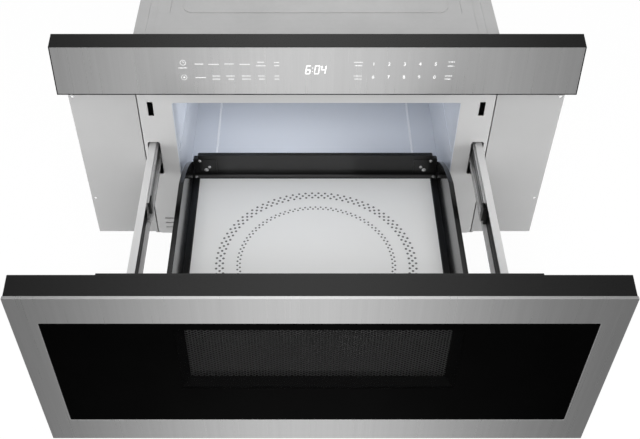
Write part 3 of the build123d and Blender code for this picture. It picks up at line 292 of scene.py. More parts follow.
def put_in_order(bm):
    """Numbers corners and faces by their place, so that every run writes the same mesh."""
    for parts, place in ((bm.verts, lambda v: v.co), (bm.faces, lambda f: f.calc_center_median())):
        order = {part: n for n, part in enumerate(sorted(parts, key=lambda part: tuple(place(part))))}
        parts.sort(key=lambda part: order[part])


def piece_of(name, bm):
    """Turns the mesh being built into an object, smooth over its gentle edges."""
    put_in_order(bm)
    mesh = bpy.data.meshes.new(name)
    for face in bm.faces:
        face.smooth = True
    for edge in bm.edges:
        edge.smooth = not (edge.is_manifold and edge.calc_face_angle() > SHARP)
    bm.to_mesh(mesh)
    bm.free()
    piece = bpy.data.objects.new(name, mesh)
    bpy.context.scene.collection.objects.link(piece)
    normals = piece.modifiers.new("flat faces stay flat", "WEIGHTED_NORMAL")
    normals.keep_sharp = True
    return piece


def fit(piece, finish, body, slot, *nodes):
    """Gives a piece its finish and fastens it to the body it moves with."""
    piece.data.materials.clear()
    piece.data.materials.append(finish)
    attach(piece, body)
    if nodes:
        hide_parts(*nodes)


def eased(name, node, radius, finish, body, slot, segments=2):
    """A piece with the CAD node's own shape, its sharp edges rounded, in that node's place."""
    bm = copy_of(node)
    round_edges(bm, radius, segments)
    fit(piece_of(name, bm), finish, body, slot, node)


def coat(finish, *nodes):
    """Gives CAD pieces whose shape is right their finish."""
    for node in nodes:
        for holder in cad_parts[node].material_slots:
            holder.material = finish


zinc = Finish("zinc_sheet")
cloud = zinc.noise((9, 9, 9), 5)
spangle = zinc.cells((160, 160, 160))
zinc_sheet = zinc.surface(zinc.mix(cloud, grey(168), grey(188)), 0.40 + 0.10 * spangle, 0.25,
                          zinc.bump(cloud + 0.2 * spangle, 0.00015, 0.3))
eased("folded_wrap", "cabinet_wrap", 0.0004, zinc_sheet, "cabinet", "zinc_sheet")
eased("base_sheet", "base_plate", 0.0003, zinc_sheet, "cabinet", "zinc_sheet")
eased("back_sheet", "back_panel", 0.0002, zinc_sheet, "cabinet", "zinc_sheet", segments=1)

# ---- face plate and side flanges ----------------------------------------------------------------
# The plate closes the chassis at the front, with the mouth of the cavity, the latch slots, the slide
# holes and a few louvres punched in it. A folded flange each side is screwed to the kitchen cabinet.
def rolled_sheet(name, dark, light, roughness):
    """Plain steel sheet with faint lines from the rolling mill."""
    sheet = Finish(name)
    cloud = sheet.noise((6, 6, 6), 4)
    lines = sheet.noise((500, 30, 30), 2)
    return sheet.surface(sheet.mix(cloud, grey(dark), grey(light)), roughness + 0.08 * lines, 0.15,
                         sheet.bump(lines, 0.00002, 0.3))


# plate and flanges are one sheet finish in two copies: the plate painted lighter, the flanges darker,
# painted light and painted shade
face_sheet_painted_lighter = rolled_sheet("face_sheet_painted_lighter", 184, 196, 0.42)
flange_sheet_painted_darker = rolled_sheet("flange_sheet_painted_darker", 169, 181, 0.44)
eased("face_plate", "front_plate", 0.0003, face_sheet_painted_lighter, "cabinet", "zinc_sheet")
eased("mounting_flanges", "face_flanges", 0.0003, flange_sheet_painted_darker, "cabinet", "zinc_sheet")

# ---- cavity -------------------------------------------------------------------------------------
# The liner is one deep-drawn steel box under a hard, glossy, bluish light grey enamel. Beads pressed
# along it keep the walls stiff, and a moulded cover under the roof hides the stirrer.
enamelled = Finish("cavity_enamel")
cloud = enamelled.noise((3, 3, 3), 2)
speck = enamelled.noise((900, 900, 900), 1)
PALE_BLUE = (0.68, 0.71, 0.765, 1)
DEEP_BLUE = (0.63, 0.665, 0.73, 1)
HIGHLIGHT_BLUE = (0.86, 0.88, 0.92, 1)           # painted highlight along the floor's beads
BEAD_OUT, BEAD_HALF = 0.172, 0.002          # their middle and half their width
FLOOR_TOP = 0.0965
x, _, z = enamelled.axes(enamelled.place)
bead_highlight = (abs(abs(x) - BEAD_OUT) < BEAD_HALF) * (z < FLOOR_TOP)
glassy = enamelled.mix(bead_highlight, enamelled.mix(cloud, DEEP_BLUE, PALE_BLUE), HIGHLIGHT_BLUE)
cavity_enamel = enamelled.surface(glassy, 0.22 + 0.06 * speck, 0.0, enamelled.bump(speck, 0.00003, 0.2))
eased("cavity_walls", "cavity_liner", 0.0003, cavity_enamel, "cabinet", "cavity_enamel")
mica = Finish("mica")
flake = mica.cells((220, 220, 220))
mica_sheet = mica.surface(mica.mix(flake, grey(170, 0.04), grey(186, 0.04)), 0.45 + 0.1 * flake, 0.0,
                          mica.bump(flake, 0.0001, 0.2))
eased("stirrer_dish", "stirrer_cover", 0.0005, mica_sheet, "cabinet", "mica")
bulb = Finish("lamp_glass")
haze = bulb.noise((80, 80, 80), 2)
lamp_glass = bulb.surface(bulb.mix(haze, grey(228, 0.04), grey(240, 0.04)), 0.12 + 0.1 * haze)
coat(lamp_glass, "cavity_lamp")

# ---- microwave source ---------------------------------------------------------------------------
# The magnetron hangs from the rear of the waveguide, with pressed aluminium fins round its anode.
# Transformer and capacitor, which feed it, stand on the base behind the cavity.
alu = Finish("aluminium")
brushed = alu.noise((40, 700, 700), 2)
aluminium = alu.surface(alu.mix(brushed, grey(196), grey(214)), 0.32 + 0.12 * brushed, 1.0,
                        alu.bump(brushed, 0.00002, 0.4))
coat(aluminium, "magnetron_fins", "waveguide", "stirrer_blades")
laminated = Finish("core_steel")
LAMINATION, LAMINATION_FACE = 0.0005, 0.00035        # thickness of a core sheet, and what shows of it
sheets = laminated.axes(laminated.place)[1] % LAMINATION < LAMINATION_FACE
core_steel = laminated.surface(laminated.mix(sheets, grey(70), grey(118)), 0.5 + 0.1 * sheets, 0.8,
                               laminated.bump(sheets, 0.0001))
coat(core_steel, "transformer_core")
wound = Finish("copper_wire")
WIRE = 0.0012
turns = wound.axes(wound.place)[2] % WIRE / WIRE
round_wire = 1 - abs(turns - 0.5) * 2
varnish = wound.noise((60, 60, 60), 3)
COPPER = (0.42, 0.14, 0.045, 1)
DARK_COPPER = (0.20, 0.06, 0.02, 1)
# the colour darkens towards the edges of each turn: painted shade between the turns
copper_wire = wound.surface(wound.mix(round_wire * 0.7 + varnish * 0.3, DARK_COPPER, COPPER),
                            0.30 + 0.15 * varnish, 0.85, wound.bump(round_wire, 0.0004))
coat(copper_wire, "transformer_windings")
coat(zinc_sheet, "magnetron", "capacitor", "thermal_cutout", "stirrer_motor")

# ---- fan and air duct ---------------------------------------------------------------------------
# An axial fan in a moulded housing blows in through the back vents; a duct leads its air over the
# magnetron fins. Housing, blades and duct are black glass-filled plastic, the motors have dark cans.
moulded = Finish("black_plastic")
spark = moulded.noise((1500, 1500, 1500), 2)
cloud = moulded.noise((12, 12, 12), 2)
black_plastic = moulded.surface(moulded.mix(cloud, grey(10), grey(14)), 0.24 + 0.10 * spark, 0.0,
                                moulded.bump(spark, 0.00004, 0.35))
coat(black_plastic, "fan_housing", "fan_blades", "air_duct", "lamp_holder")
canned = Finish("motor_black")
orange_peel = canned.noise((600, 600, 600), 2)
motor_black = canned.surface(canned.mix(orange_peel, grey(34), grey(44)), 0.30 + 0.2 * orange_peel, 0.4,
                             canned.bump(orange_peel, 0.00004, 0.3))
coat(motor_black, "fan_motor", "drive_motor")

# ---- boards -------------------------------------------------------------------------------------
# Glass-fibre boards: the mains filter on a shelf over the cavity, the control board and the display
# module behind the fascia.
etched = Finish("circuit_board")
tracks = etched.cells((240, 240, 240)) > 0.55
mask = etched.noise((90, 90, 90), 2)
BOARD_GREEN = (0.012, 0.10, 0.035, 1)
TRACK_GREEN = (0.03, 0.20, 0.07, 1)
circuit_board = etched.surface(etched.mix(tracks, BOARD_GREEN, TRACK_GREEN), 0.35 + 0.1 * mask, 0.0,
                               etched.bump(tracks, 0.00004, 0.5))
coat(circuit_board, "filter_board", "control_board")
coat(black_plastic, "display_module")

# ---- cord entry ---------------------------------------------------------------------------------
# A soft rubber grommet lines the hole in the back where the mains cord would pass. It is moulded with
# a groove that snaps over the edge of the sheet.
rubber = Finish("grommet")
dust = rubber.noise((300, 300, 300), 3)
grommet = rubber.surface(rubber.mix(dust, grey(38), grey(52)), 0.62 + 0.15 * dust, 0.0,
                         rubber.bump(dust, 0.00005, 0.4))
eased("rubber_grommet", "cord_gland", 0.0008, grommet, "cabinet", "grommet", segments=3)

# ---- control panel ------------------------------------------------------------------------------
# A moulded black housing hangs over the top of the face plate. Its leaning front holds a brushed
# steel fascia, let in so that a dark outline is left round it.
ground = Finish("brushed_steel")
fine = ground.noise((1100, 5, 5), 2)
broad = ground.noise((140, 1.5, 1.5), 2)
SQUARELY = 0.7              # a face that faces an axis more squarely than this belongs to it
painted_top_highlight = ground.facing(2) > SQUARELY    # faces that face upwards get a painted highlight: lighter and less metallic
grain = ground.mix(0.4 * fine + 0.6 * broad, grey(192), grey(210))
brushed_steel = ground.surface(ground.mix(painted_top_highlight, grain, grey(222)), 0.25 + 0.08 * fine,
                               1 - 0.12 * painted_top_highlight, ground.bump(fine + broad, 0.00001, 0.6))
eased("panel_housing", "control_housing", 0.0007, black_plastic, "cabinet", "black_plastic", segments=3)
FASCIA_LOW = Vector((0, -0.3165, 0.3336))       # front edges of the leaning fascia
FASCIA_HIGH = Vector((0, -0.3064, 0.411))
FASCIA_GAP = 0.0006         # more of the dark housing left round the fascia's foot and ends
bm = copy_of("control_fascia")
middle = sum(v.co.z for v in bm.verts) / len(bm.verts)
for v in bm.verts:
    v.co.x -= math.copysign(FASCIA_GAP, v.co.x)
    if v.co.z < middle:
        v.co += (FASCIA_HIGH - FASCIA_LOW).normalized() * FASCIA_GAP
round_edges(bm, 0.0004)
fit(piece_of("steel_fascia", bm), brushed_steel, "cabinet", "brushed_steel", "control_fascia")

# ---- touch marks and clock ----------------------------------------------------------------------
# White marks are screen-printed on the steel over the touch pads: plain bars, two round marks and the
# figures of the number pad. The digits of the clock are lit from behind.
up_fascia = (FASCIA_HIGH - FASCIA_LOW).normalized()
off_fascia = Vector((0, -up_fascia.z, up_fascia.y))
PRINT = 0.00008             # thickness of the print


def on_fascia(x, z, proud=0.0):
    """Moves a flat drawing, X to the right and Y up, to a place on the fascia."""
    rise = (z - FASCIA_LOW.z) / up_fascia.z
    origin = FASCIA_LOW + up_fascia * rise + off_fascia * proud + Vector((x, 0, 0))
    sides = Matrix((Vector((1, 0, 0)), up_fascia, off_fascia)).transposed().to_4x4()
    return Matrix.Translation(origin) @ sides


def bar(bm, width, height, thickness, matrix):
    """Flat bar with rounded ends."""
    radius = min(width, height) * 0.49
    size = Matrix.Diagonal((width, height, thickness, 1))
    made = bmesh.ops.create_cube(bm, size=1, matrix=matrix @ size)
    upright = [e for e in {e for v in made["verts"] for e in v.link_edges}
               if abs((e.verts[0].co - e.verts[1].co).length - thickness) < 1e-7]
    bmesh.ops.bevel(bm, geom=upright, offset=radius, offset_type="OFFSET", affect="EDGES", segments=4,
                    profile=0.5, material=-1)


def ring(bm, radius, width, thickness, matrix, steps=24):
    """Flat ring, spun from its section."""
    outer = radius + width
    corners = [(radius, 0, 0), (outer, 0, 0), (outer, 0, thickness), (radius, 0, thickness)]
    verts = [bm.verts.new(matrix @ Vector(corner)) for corner in corners]
    edges = [bm.edges.new((verts[n], verts[(n + 1) % 4])) for n in range(4)]
    axis = (matrix.to_3x3() @ Vector((0, 0, 1))).normalized()
    bmesh.ops.spin(bm, geom=verts + edges, cent=matrix.translation, axis=axis, angle=2 * math.pi,
                   steps=steps, use_merge=True)


LINE = 0.0011               # height of a printed bar
BARS = [                    # X of the left and right end, and Z, in millimetres
    (-199, -186, 377.9), (-175.5, -162.5, 384.0), (-155.5, -140.5, 383.6), (-132.5, -119, 384.2),
    (-111, -96, 383.6), (-85.6, -75.6, 387.0), (-87.6, -73.8, 381.2), (-61.6, -54.4, 386.6),
    (-61.6, -54.4, 381.4), (-175.5, -160.5, 362.2), (-150.6, -139.6, 364.8), (-150.8, -139.4, 359.8),
    (-131, -118.5, 364.8), (-128, -119.6, 359.8), (-108.4, -95.4, 364.8), (-108.4, -95.4, 359.8),
    (-85.4, -75.4, 364.8), (-83.8, -75.4, 359.8), (-61.2, -54.4, 364.8), (-61.2, -54.4, 359.8),
    (52.2, 65.4, 386.8), (53.8, 64.4, 381.4), (52.2, 64.6, 364.8), (53.6, 64.6, 359.8),
    (187.2, 196.2, 387.4), (186.4, 196.2, 380.8), (184.0, 195.0, 364.8), (184.0, 193.2, 359.8),
]
bm = bmesh.new()
for left, right, z in BARS:
    bar(bm, (right - left) / 1000, LINE, PRINT, on_fascia((left + right) / 2000, z / 1000, PRINT / 2))
ROUND_MARK, FINE_LINE = 0.0036, 0.0007       # inner radius of a round mark, and the width of its line
for z, clock_face in ((0.3862, True), (0.3626, False)):
    centre = on_fascia(-0.1916, z)
    ring(bm, ROUND_MARK, FINE_LINE, PRINT, centre)
    if clock_face:
        bar(bm, FINE_LINE, 0.0028, PRINT, centre @ Matrix.Translation((0, 0.0012, PRINT / 2)))
        bar(bm, 0.0024, FINE_LINE, PRINT, centre @ Matrix.Translation((0.001, 0, PRINT / 2)))
    else:
        bar(bm, 0.0026, 0.0026, PRINT, centre @ Matrix.Translation((0, 0, PRINT / 2)))
DIGIT_HEIGHT = 0.0052
CAPITAL = 0.72              # height of a figure as a part of the typeface's size
BOLDER = 0.0002
KEYS = (0.0809, 0.103, 0.1252, 0.1472, 0.1694)
for z, digits in ((0.3838, "12345"), (0.3628, "67890")):
    for x, digit in zip(KEYS, digits):
        letter = bpy.data.curves.new("digit", "FONT")
        letter.body = digit
        letter.size = DIGIT_HEIGHT / CAPITAL
        letter.align_x, letter.align_y = "CENTER", "CENTER"
        letter.extrude = PRINT / 2
        letter.offset = BOLDER
        letter.resolution_u = 3
        drawn = bpy.data.objects.new("digit", letter)
        bpy.context.scene.collection.objects.link(drawn)
        flat = bpy.data.meshes.new_from_object(drawn)
        flat.transform(on_fascia(x, z, PRINT / 2))
        bm.from_mesh(flat)
        bpy.data.objects.remove(drawn)
bmesh.ops.remove_doubles(bm, verts=bm.verts, dist=0.000001)
bmesh.ops.recalc_face_normals(bm, faces=bm.faces)
printed = Finish("white_print")
wear = printed.noise((400, 400, 400), 2)
# the faint emission is a painted glow that keeps the print bright
white_print = printed.surface(printed.mix(wear, grey(226), grey(240)), 0.5 + 0.1 * wear, 0.0, None,
                              {"Emission Color": (1, 1, 1, 1), "Emission Strength": 0.03})
fit(piece_of("touch_marks", bm), white_print, "cabinet", "white_plastic")

CLOCK_Z = 0.3748
STROKE = 0.00108            # width of a lit segment
CLOCK_WIDTH = 0.0059
CLOCK_HEIGHT = 0.0128
SLANT = math.tan(math.radians(8))
SEGMENTS = {"top": (0, 1, 0), "middle": (0, 0, 0), "bottom": (0, -1, 0), "upper_left": (-1, 0.5, 1),
            "upper_right": (1, 0.5, 1), "lower_left": (-1, -0.5, 1), "lower_right": (1, -0.5, 1)}
LIT = {"6": set(SEGMENTS) - {"upper_right"}, "0": set(SEGMENTS) - {"middle"},
       "4": {"upper_left", "upper_right", "middle", "lower_right"}}
bm = bmesh.new()
lean = Matrix(((1, SLANT, 0, 0), (0, 1, 0, 0), (0, 0, 1, 0), (0, 0, 0, 1)))
for x, digit in ((-0.0128, "6"), (-0.0001, "0"), (0.0092, "4")):
    for name in sorted(LIT[digit]):
        across, up, upright = SEGMENTS[name]
        spot = Matrix.Translation((across * CLOCK_WIDTH / 2, up * CLOCK_HEIGHT / 2, PRINT / 2))
        size = (STROKE, CLOCK_HEIGHT / 2) if upright else (CLOCK_WIDTH, STROKE)
        bar(bm, *size, PRINT, on_fascia(x, CLOCK_Z) @ lean @ spot)
for up in (0.0028, -0.0028):
    spot = Matrix.Translation((0, up, PRINT / 2))
    bar(bm, STROKE, STROKE, PRINT, on_fascia(-0.0066, CLOCK_Z) @ lean @ spot)
glowing = Finish("clock_light")
glow = glowing.noise((700, 700, 700), 1)
clock_light = glowing.surface(glowing.mix(glow, grey(244), grey(255)), 0.4 + 0.1 * glow, 0.0, None,
                              {"Emission Color": (1, 1, 1, 1), "Emission Strength": 0.8})
fit(piece_of("clock_digits", bm), clock_light, "cabinet", "display")

# ---- drawer front -------------------------------------------------------------------------------
# A brushed steel sheet, folded back all round and cut out for the glass, sits on a moulded black body
# whose top rises towards the back. A black choke panel behind it closes the cavity.
eased("steel_front", "drawer_steel_frame", 0.0005, brushed_steel, "drawer", "brushed_steel", segments=3)
front_plastic = Finish("front_plastic")
spark = front_plastic.noise((1500, 1500, 1500), 2)
cloud = front_plastic.noise((12, 12, 12), 2)
TUNNEL_HALF = 0.1835        # the tunnel to the window is painted near black inside, painted shade, and is matt, so that the window stays dark
TUNNEL_LOW, TUNNEL_HIGH = 0.1245, 0.2615
x, _, z = front_plastic.axes(front_plastic.place)
tunnel_painted_shade = (abs(x) < TUNNEL_HALF) * (z > TUNNEL_LOW) * (z < TUNNEL_HIGH)
cheek = tunnel_painted_shade * (abs(front_plastic.facing(0)) > SQUARELY)
tone = front_plastic.mix(tunnel_painted_shade, front_plastic.mix(cloud, grey(10), grey(14)), grey(2))
black_body = front_plastic.surface(tone, 0.24 + 0.10 * spark + 0.5 * tunnel_painted_shade, cheek,
                                   front_plastic.bump(spark, 0.00004, 0.35))
eased("front_body", "drawer_door_body", 0.0006, black_body, "drawer", "black_plastic", segments=3)
enamel = Finish("black_metal")
fine = enamel.noise((700, 700, 700), 2)
black_metal = enamel.surface(enamel.mix(fine, grey(10), grey(14)), 0.24 + 0.12 * fine, 0.0,
                             enamel.bump(fine, 0.00003, 0.3))
eased("choke_door", "choke_panel", 0.0004, black_metal, "drawer", "black_metal")
eased("hooks", "latch_hooks", 0.0005, black_metal, "drawer", "black_metal")
for name in ("steel_front", "front_body", "choke_door"):
    bpy.data.objects[name].visible_glossy = False       # the fascia mirrors the studio, not the door

# ---- glass and window ---------------------------------------------------------------------------
# Toughened glass, printed black on its rear face but for the window in the middle. Behind it a sheet
# punched with holes on a triangular pattern keeps the microwaves in, and a pane closes it, dark and
# nearly opaque: painted shade behind the screen.
WINDOW_HALF = 0.1815        # clear part of the glass
WINDOW_LOW, WINDOW_HIGH = 0.131, 0.261
pane = Finish("dark_glass")
x, _, z = pane.axes(pane.place)
window = (abs(x) < WINDOW_HALF) * (z > WINDOW_LOW) * (z < WINDOW_HIGH)
smear = pane.noise((14, 14, 14), 3)
dark_glass = pane.surface(pane.mix(smear, grey(1), grey(3)), 0.03 + 0.03 * smear, 0.0, None,
                          {"Specular IOR Level": 0.008, "Alpha": 1 - 0.42 * window})
eased("front_glass", "drawer_glass", 0.0006, dark_glass, "drawer", "dark_glass", segments=3)

PITCH = 0.0046              # up a column of holes
HOLE = 0.002                # corner radius of a hole
SCREEN_SHEET = 0.00028
screen_low, screen_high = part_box("window_screen")
bm = bmesh.new()
bmesh.ops.create_circle(bm, cap_ends=False, segments=6, radius=HOLE,
                        matrix=Matrix.Rotation(math.radians(90), 4, "X"))
bmesh.ops.rotate(bm, verts=bm.verts, cent=(0, 0, 0), matrix=Matrix.Rotation(math.radians(30), 3, "Y"))
web = PITCH - 2 * HOLE * math.cos(math.radians(30))
for edge in list(bm.edges):             # the three upper sides of the hole grow the web round it
    middle = (edge.verts[0].co + edge.verts[1].co) / 2
    angle = math.degrees(math.atan2(middle.z, middle.x))
    if 15 < angle < 165:
        grown = bmesh.ops.extrude_edge_only(bm, edges=[edge])["geom"]
        tips = [v for v in grown if isinstance(v, bmesh.types.BMVert)]
        bmesh.ops.translate(bm, verts=tips, vec=middle.normalized() * web)
column_step = PITCH * math.sin(math.radians(60))
tall = math.ceil((screen_high.z - screen_low.z) / PITCH) + 2
columns = math.ceil((screen_high.x - screen_low.x) / column_step) + 2
unit = bm.verts[:] + bm.edges[:] + bm.faces[:]
line = unit[:]
for n in range(1, tall):
    copied = bmesh.ops.duplicate(bm, geom=unit)["geom"]
    moved = [v for v in copied if isinstance(v, bmesh.types.BMVert)]
    bmesh.ops.translate(bm, verts=moved, vec=(0, 0, n * PITCH))
    line += copied
for n in range(1, columns):
    copied = bmesh.ops.duplicate(bm, geom=line)["geom"]
    moved = [v for v in copied if isinstance(v, bmesh.types.BMVert)]
    bmesh.ops.translate(bm, verts=moved, vec=(n * column_step, 0, -PITCH / 2 * (n % 2)))
corner = Vector((screen_low.x - column_step / 2, screen_low.y, screen_low.z - PITCH / 4))
bmesh.ops.translate(bm, verts=bm.verts, vec=corner)
bmesh.ops.remove_doubles(bm, verts=bm.verts, dist=0.00001)
bmesh.ops.holes_fill(bm, edges=bm.edges, sides=3)
for spot, normal in ((screen_low, (-1, 0, 0)), (screen_low, (0, 0, -1)), (screen_high, (1, 0, 0)),
                     (screen_high, (0, 0, 1))):
    bmesh.ops.bisect_plane(bm, geom=bm.verts[:] + bm.edges[:] + bm.faces[:], dist=0.000001, plane_co=spot,
                           plane_no=normal, clear_outer=True)
bmesh.ops.recalc_face_normals(bm, faces=bm.faces)
for face in bm.faces:
    if face.normal.y > 0:
        face.normal_flip()
bmesh.ops.solidify(bm, geom=bm.faces[:], thickness=SCREEN_SHEET)
perforated = Finish("screen_grey")       # light, so that its pattern shows through the dark glass
fine = perforated.noise((300, 300, 300), 2)
screen_grey = perforated.surface(perforated.mix(fine, grey(198), grey(210)), 0.5 + 0.1 * fine)
put_in_order(bm)
mesh = bpy.data.meshes.new("punched_screen")
bm.to_mesh(mesh)
bm.free()
screen = bpy.data.objects.new("punched_screen", mesh)
bpy.context.scene.collection.objects.link(screen)
fit(screen, screen_grey, "drawer", "black_metal", "window_screen")
clear = Finish("clear_glass")
haze = clear.noise((30, 30, 30), 2)
# the pane is dark and nearly opaque: painted shade behind the screen
clear_glass = clear.surface(clear.mix(haze, grey(6), grey(10)), 0.05 + 0.05 * haze, 0.0, None,
                            {"Alpha": 0.94 + 0.04 * haze})
eased("inner_pane", "inner_window", 0.0003, clear_glass, "drawer", "clear_glass")

for name in ("front_glass", "punched_screen", "inner_pane"):
    bpy.data.objects[name].visible_glossy = False

# ---- drawer box ---------------------------------------------------------------------------------
# Two side walls with curved rear tops and a back wall, all glossy black, are tied by folded angles
# at the rear corners. The floor pan hangs between them.
gloss = Finish("gloss_black")
ripple = gloss.noise((25, 25, 25), 2)
gloss_black = gloss.surface(gloss.mix(ripple, grey(9), grey(13)), 0.10 + 0.06 * ripple, 0.0,
                            gloss.bump(ripple, 0.0002, 0.05))
eased("side_walls", "drawer_side_walls", 0.0008, gloss_black, "drawer", "gloss_black", segments=3)
eased("back_wall", "drawer_back_wall", 0.0006, black_metal, "drawer", "black_metal", segments=3)
eased("corner_angles", "corner_brackets", 0.0003, black_metal, "drawer", "black_metal")
eased("floor_pan", "drawer_pan", 0.0004, black_metal, "drawer", "black_metal")

# ---- ceramic tray -------------------------------------------------------------------------------
# A white glass-ceramic plate lies in a black channel under a thin trim. Two rings of grey dots are
# fired on it, three staggered rows outside and two inside, ninety dots to a row.
eased("tray_channel", "tray_frame", 0.0003, black_metal, "drawer", "black_metal")
STRIP_FRONT, STRIP_REAR = -0.2632, -0.2572       # the trim's rear strip is painted light grey, painted light, and is rougher
edged = Finish("black_with_painted_strip")
y = edged.axes(edged.place)[1]
painted_light_strip = (y > STRIP_FRONT) * (y < STRIP_REAR)
fine = edged.noise((700, 700, 700), 2)
black_with_painted_strip = edged.surface(edged.mix(painted_light_strip, edged.mix(fine, grey(10), grey(14)), grey(66)),
                            0.24 + 0.12 * fine + 0.2 * painted_light_strip, 0.0, edged.bump(fine, 0.00003, 0.3))
eased("tray_edging", "tray_trim", 0.0004, black_with_painted_strip, "drawer", "black_metal")
fired = Finish("ceramic_white")
cloud = fired.noise((5, 5, 5), 3)
speck = fired.noise((900, 900, 900), 1)
WARM_WHITE = (0.80, 0.80, 0.795, 1)
COOL_WHITE = (0.77, 0.775, 0.77, 1)
SHADOW_SIDE, SHADOW_REAR = 0.1924, -0.2645          # a dark painted shadow runs along the trim's inner edge
x, y, _ = fired.axes(fired.place)
painted_edge_shadow = 1 - (abs(x) < SHADOW_SIDE) * (y < SHADOW_REAR)
glazed = fired.mix(painted_edge_shadow, fired.mix(cloud, COOL_WHITE, WARM_WHITE), grey(8))
ceramic_white = fired.surface(glazed, 0.16 + 0.06 * speck + 0.2 * painted_edge_shadow, 0.0,
                              fired.bump(speck, 0.00002, 0.15))
eased("ceramic_plate", "ceramic_tray", 0.0005, ceramic_white, "drawer", "ceramic_white", segments=3)
DOTS = 90
DOT_PRINT = 0.00006
RING_CENTRE = Vector((0, -0.4524, 0.115))
DOT_ROWS = [                # radius of the row, turn in degrees, and radius of a dot
    (0.1531, 0, 0.002), (0.1479, 2, 0.002), (0.143, 0, 0.002), (0.1209, 2, 0.00165), (0.1169, 0, 0.00165),
]
bm = bmesh.new()
for radius, turn, dot in DOT_ROWS:
    for n in range(DOTS):
        angle = math.radians(turn + 360 / DOTS * n)
        spot = RING_CENTRE + Vector((radius * math.cos(angle), radius * math.sin(angle), DOT_PRINT / 2))
        bmesh.ops.create_cone(bm, cap_ends=True, segments=10, radius1=dot, radius2=dot * 0.97,
                              depth=DOT_PRINT, matrix=Matrix.Translation(spot))
inked = Finish("grey_print")
fade = inked.noise((120, 120, 120), 2)
grey_print = inked.surface(inked.mix(fade, grey(88), grey(106)), 0.25 + 0.1 * fade)
fit(piece_of("tray_dots", bm), grey_print, "drawer", "ceramic_white")

# ---- drawer screws ------------------------------------------------------------------------------
# Nickel-plated pan-head screws with a cross recess hold the angles and the trim at the two rear
# corners. Heads are cold-formed: a low dome on a straight rim, the cross punched into it.
def pan_head(bm, low, high, axis, height=0.0016):
    """Head that fills the width of a screw's box and faces along the axis."""
    before = set(bm.verts)
    radius = 0.5 * (high.x - low.x)
    bmesh.ops.create_grid(bm, x_segments=8, y_segments=8, size=radius)
    fresh = [v for v in bm.verts if v not in before]
    faces = {f for v in fresh for f in v.link_faces}
    arm, half_width = 0.74 * radius, 0.26 * radius
    cross = [f for f in faces if max(abs(c) for c in f.calc_center_median()) < arm
             and min(abs(c) for c in f.calc_center_median()[:2]) < half_width]
    for v in fresh:
        reach = max(abs(v.co.x), abs(v.co.y))
        if reach:
            v.co *= reach / v.co.length
        v.co.z = height * (1 - 0.5 * (v.co.length / radius) ** 2)
    rim = [e for e in {e for f in faces for e in f.edges} if e.is_boundary]
    skirt = bmesh.ops.extrude_edge_only(bm, edges=rim)["geom"]
    for v in skirt:
        if isinstance(v, bmesh.types.BMVert):
            v.co.z = 0
    foot = [e for e in skirt if isinstance(e, bmesh.types.BMEdge) and e.is_boundary]
    bmesh.ops.holes_fill(bm, edges=foot, sides=0)
    sunk = bmesh.ops.extrude_face_region(bm, geom=cross)["geom"]
    deep = [v for v in sunk if isinstance(v, bmesh.types.BMVert)]
    bmesh.ops.translate(bm, verts=deep, vec=(0, 0, -0.5 * height))
    made = [v for v in bm.verts if v not in before]
    seat = (low + high) / 2 - Vector(axis) * height / 2
    turn = Vector((0, 0, 1)).rotation_difference(Vector(axis)).to_matrix().to_4x4()
    driven = Matrix.Rotation(math.radians(31 * len(before) % 90), 4, "Z")       # no two crosses line up
    bmesh.ops.transform(bm, matrix=Matrix.Translation(seat) @ turn @ driven, verts=made)


def heads_of(node):
    """Lowest and highest corner of each screw in a node."""
    bm = bmesh.new()
    bm.from_mesh(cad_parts[node].data)
    bmesh.ops.remove_doubles(bm, verts=bm.verts, dist=WELD)
    left = set(bm.verts)
    boxes = []
    for start in bm.verts:
        if start not in left:
            continue
        left.discard(start)
        screw = [start]
        for v in screw:
            joined = [e.other_vert(v) for e in v.link_edges if e.other_vert(v) in left]
            left.difference_update(joined)
            screw += joined
        boxes.append([Vector([side(v.co[n] for v in screw) for n in range(3)]) for side in (min, max)])
    bm.free()
    return boxes


plated = Finish("screw_steel")
fine = plated.noise((900, 900, 900), 2)
screw_steel = plated.surface(plated.mix(fine, grey(214), grey(232)), 0.20 + 0.10 * fine, 0.6)
bm = bmesh.new()
for low, high in heads_of("drawer_screws"):
    pan_head(bm, low, high, (0, -1, 0) if high.z - low.z > 0.003 else (0, 0, 1))
fit(piece_of("cross_screws", bm), screw_steel, "drawer", "screw_steel", "drawer_screws")

# ---- chassis screws -----------------------------------------------------------------------------
# Self-tapping hex screws with a pressed-on washer close the wrap on the base and on the back. Their
# heads are cold-formed, with a shallow dish in the top.
def hex_head(bm, low, high):
    """Washer and hex head along the thin side of a screw's box."""
    size = high - low
    flat = min(range(3), key=lambda n: size[n])
    outward = 1 if low[flat] + high[flat] > 0 else -1
    axis = Vector([outward if n == flat else 0 for n in range(3)])
    turn = Vector((0, 0, 1)).rotation_difference(axis).to_matrix().to_4x4()
    seat = (low + high) / 2 - axis * size[flat] / 2
    before = set(bm.verts)
    washer, head = 0.25 * size[flat], 0.75 * size[flat]
    wide = max(size) / 2
    bmesh.ops.create_cone(bm, cap_ends=True, segments=24, radius1=wide, radius2=wide * 0.94, depth=washer,
                          matrix=Matrix.Translation((0, 0, washer / 2)))
    made = bmesh.ops.create_cone(bm, cap_ends=True, segments=6, radius1=wide * 0.76, radius2=wide * 0.74,
                                 depth=head, matrix=Matrix.Translation((0, 0, washer + head / 2)))
    top = [f for f in {f for v in made["verts"] for f in v.link_faces} if f.normal.z > 0.9]
    bmesh.ops.inset_region(bm, faces=top, thickness=wide * 0.2, use_even_offset=True)
    bmesh.ops.translate(bm, verts=list({v for f in top for v in f.verts}), vec=(0, 0, -0.3 * head))
    fresh = [v for v in bm.verts if v not in before]
    bmesh.ops.transform(bm, matrix=Matrix.Translation(seat) @ turn, verts=fresh)


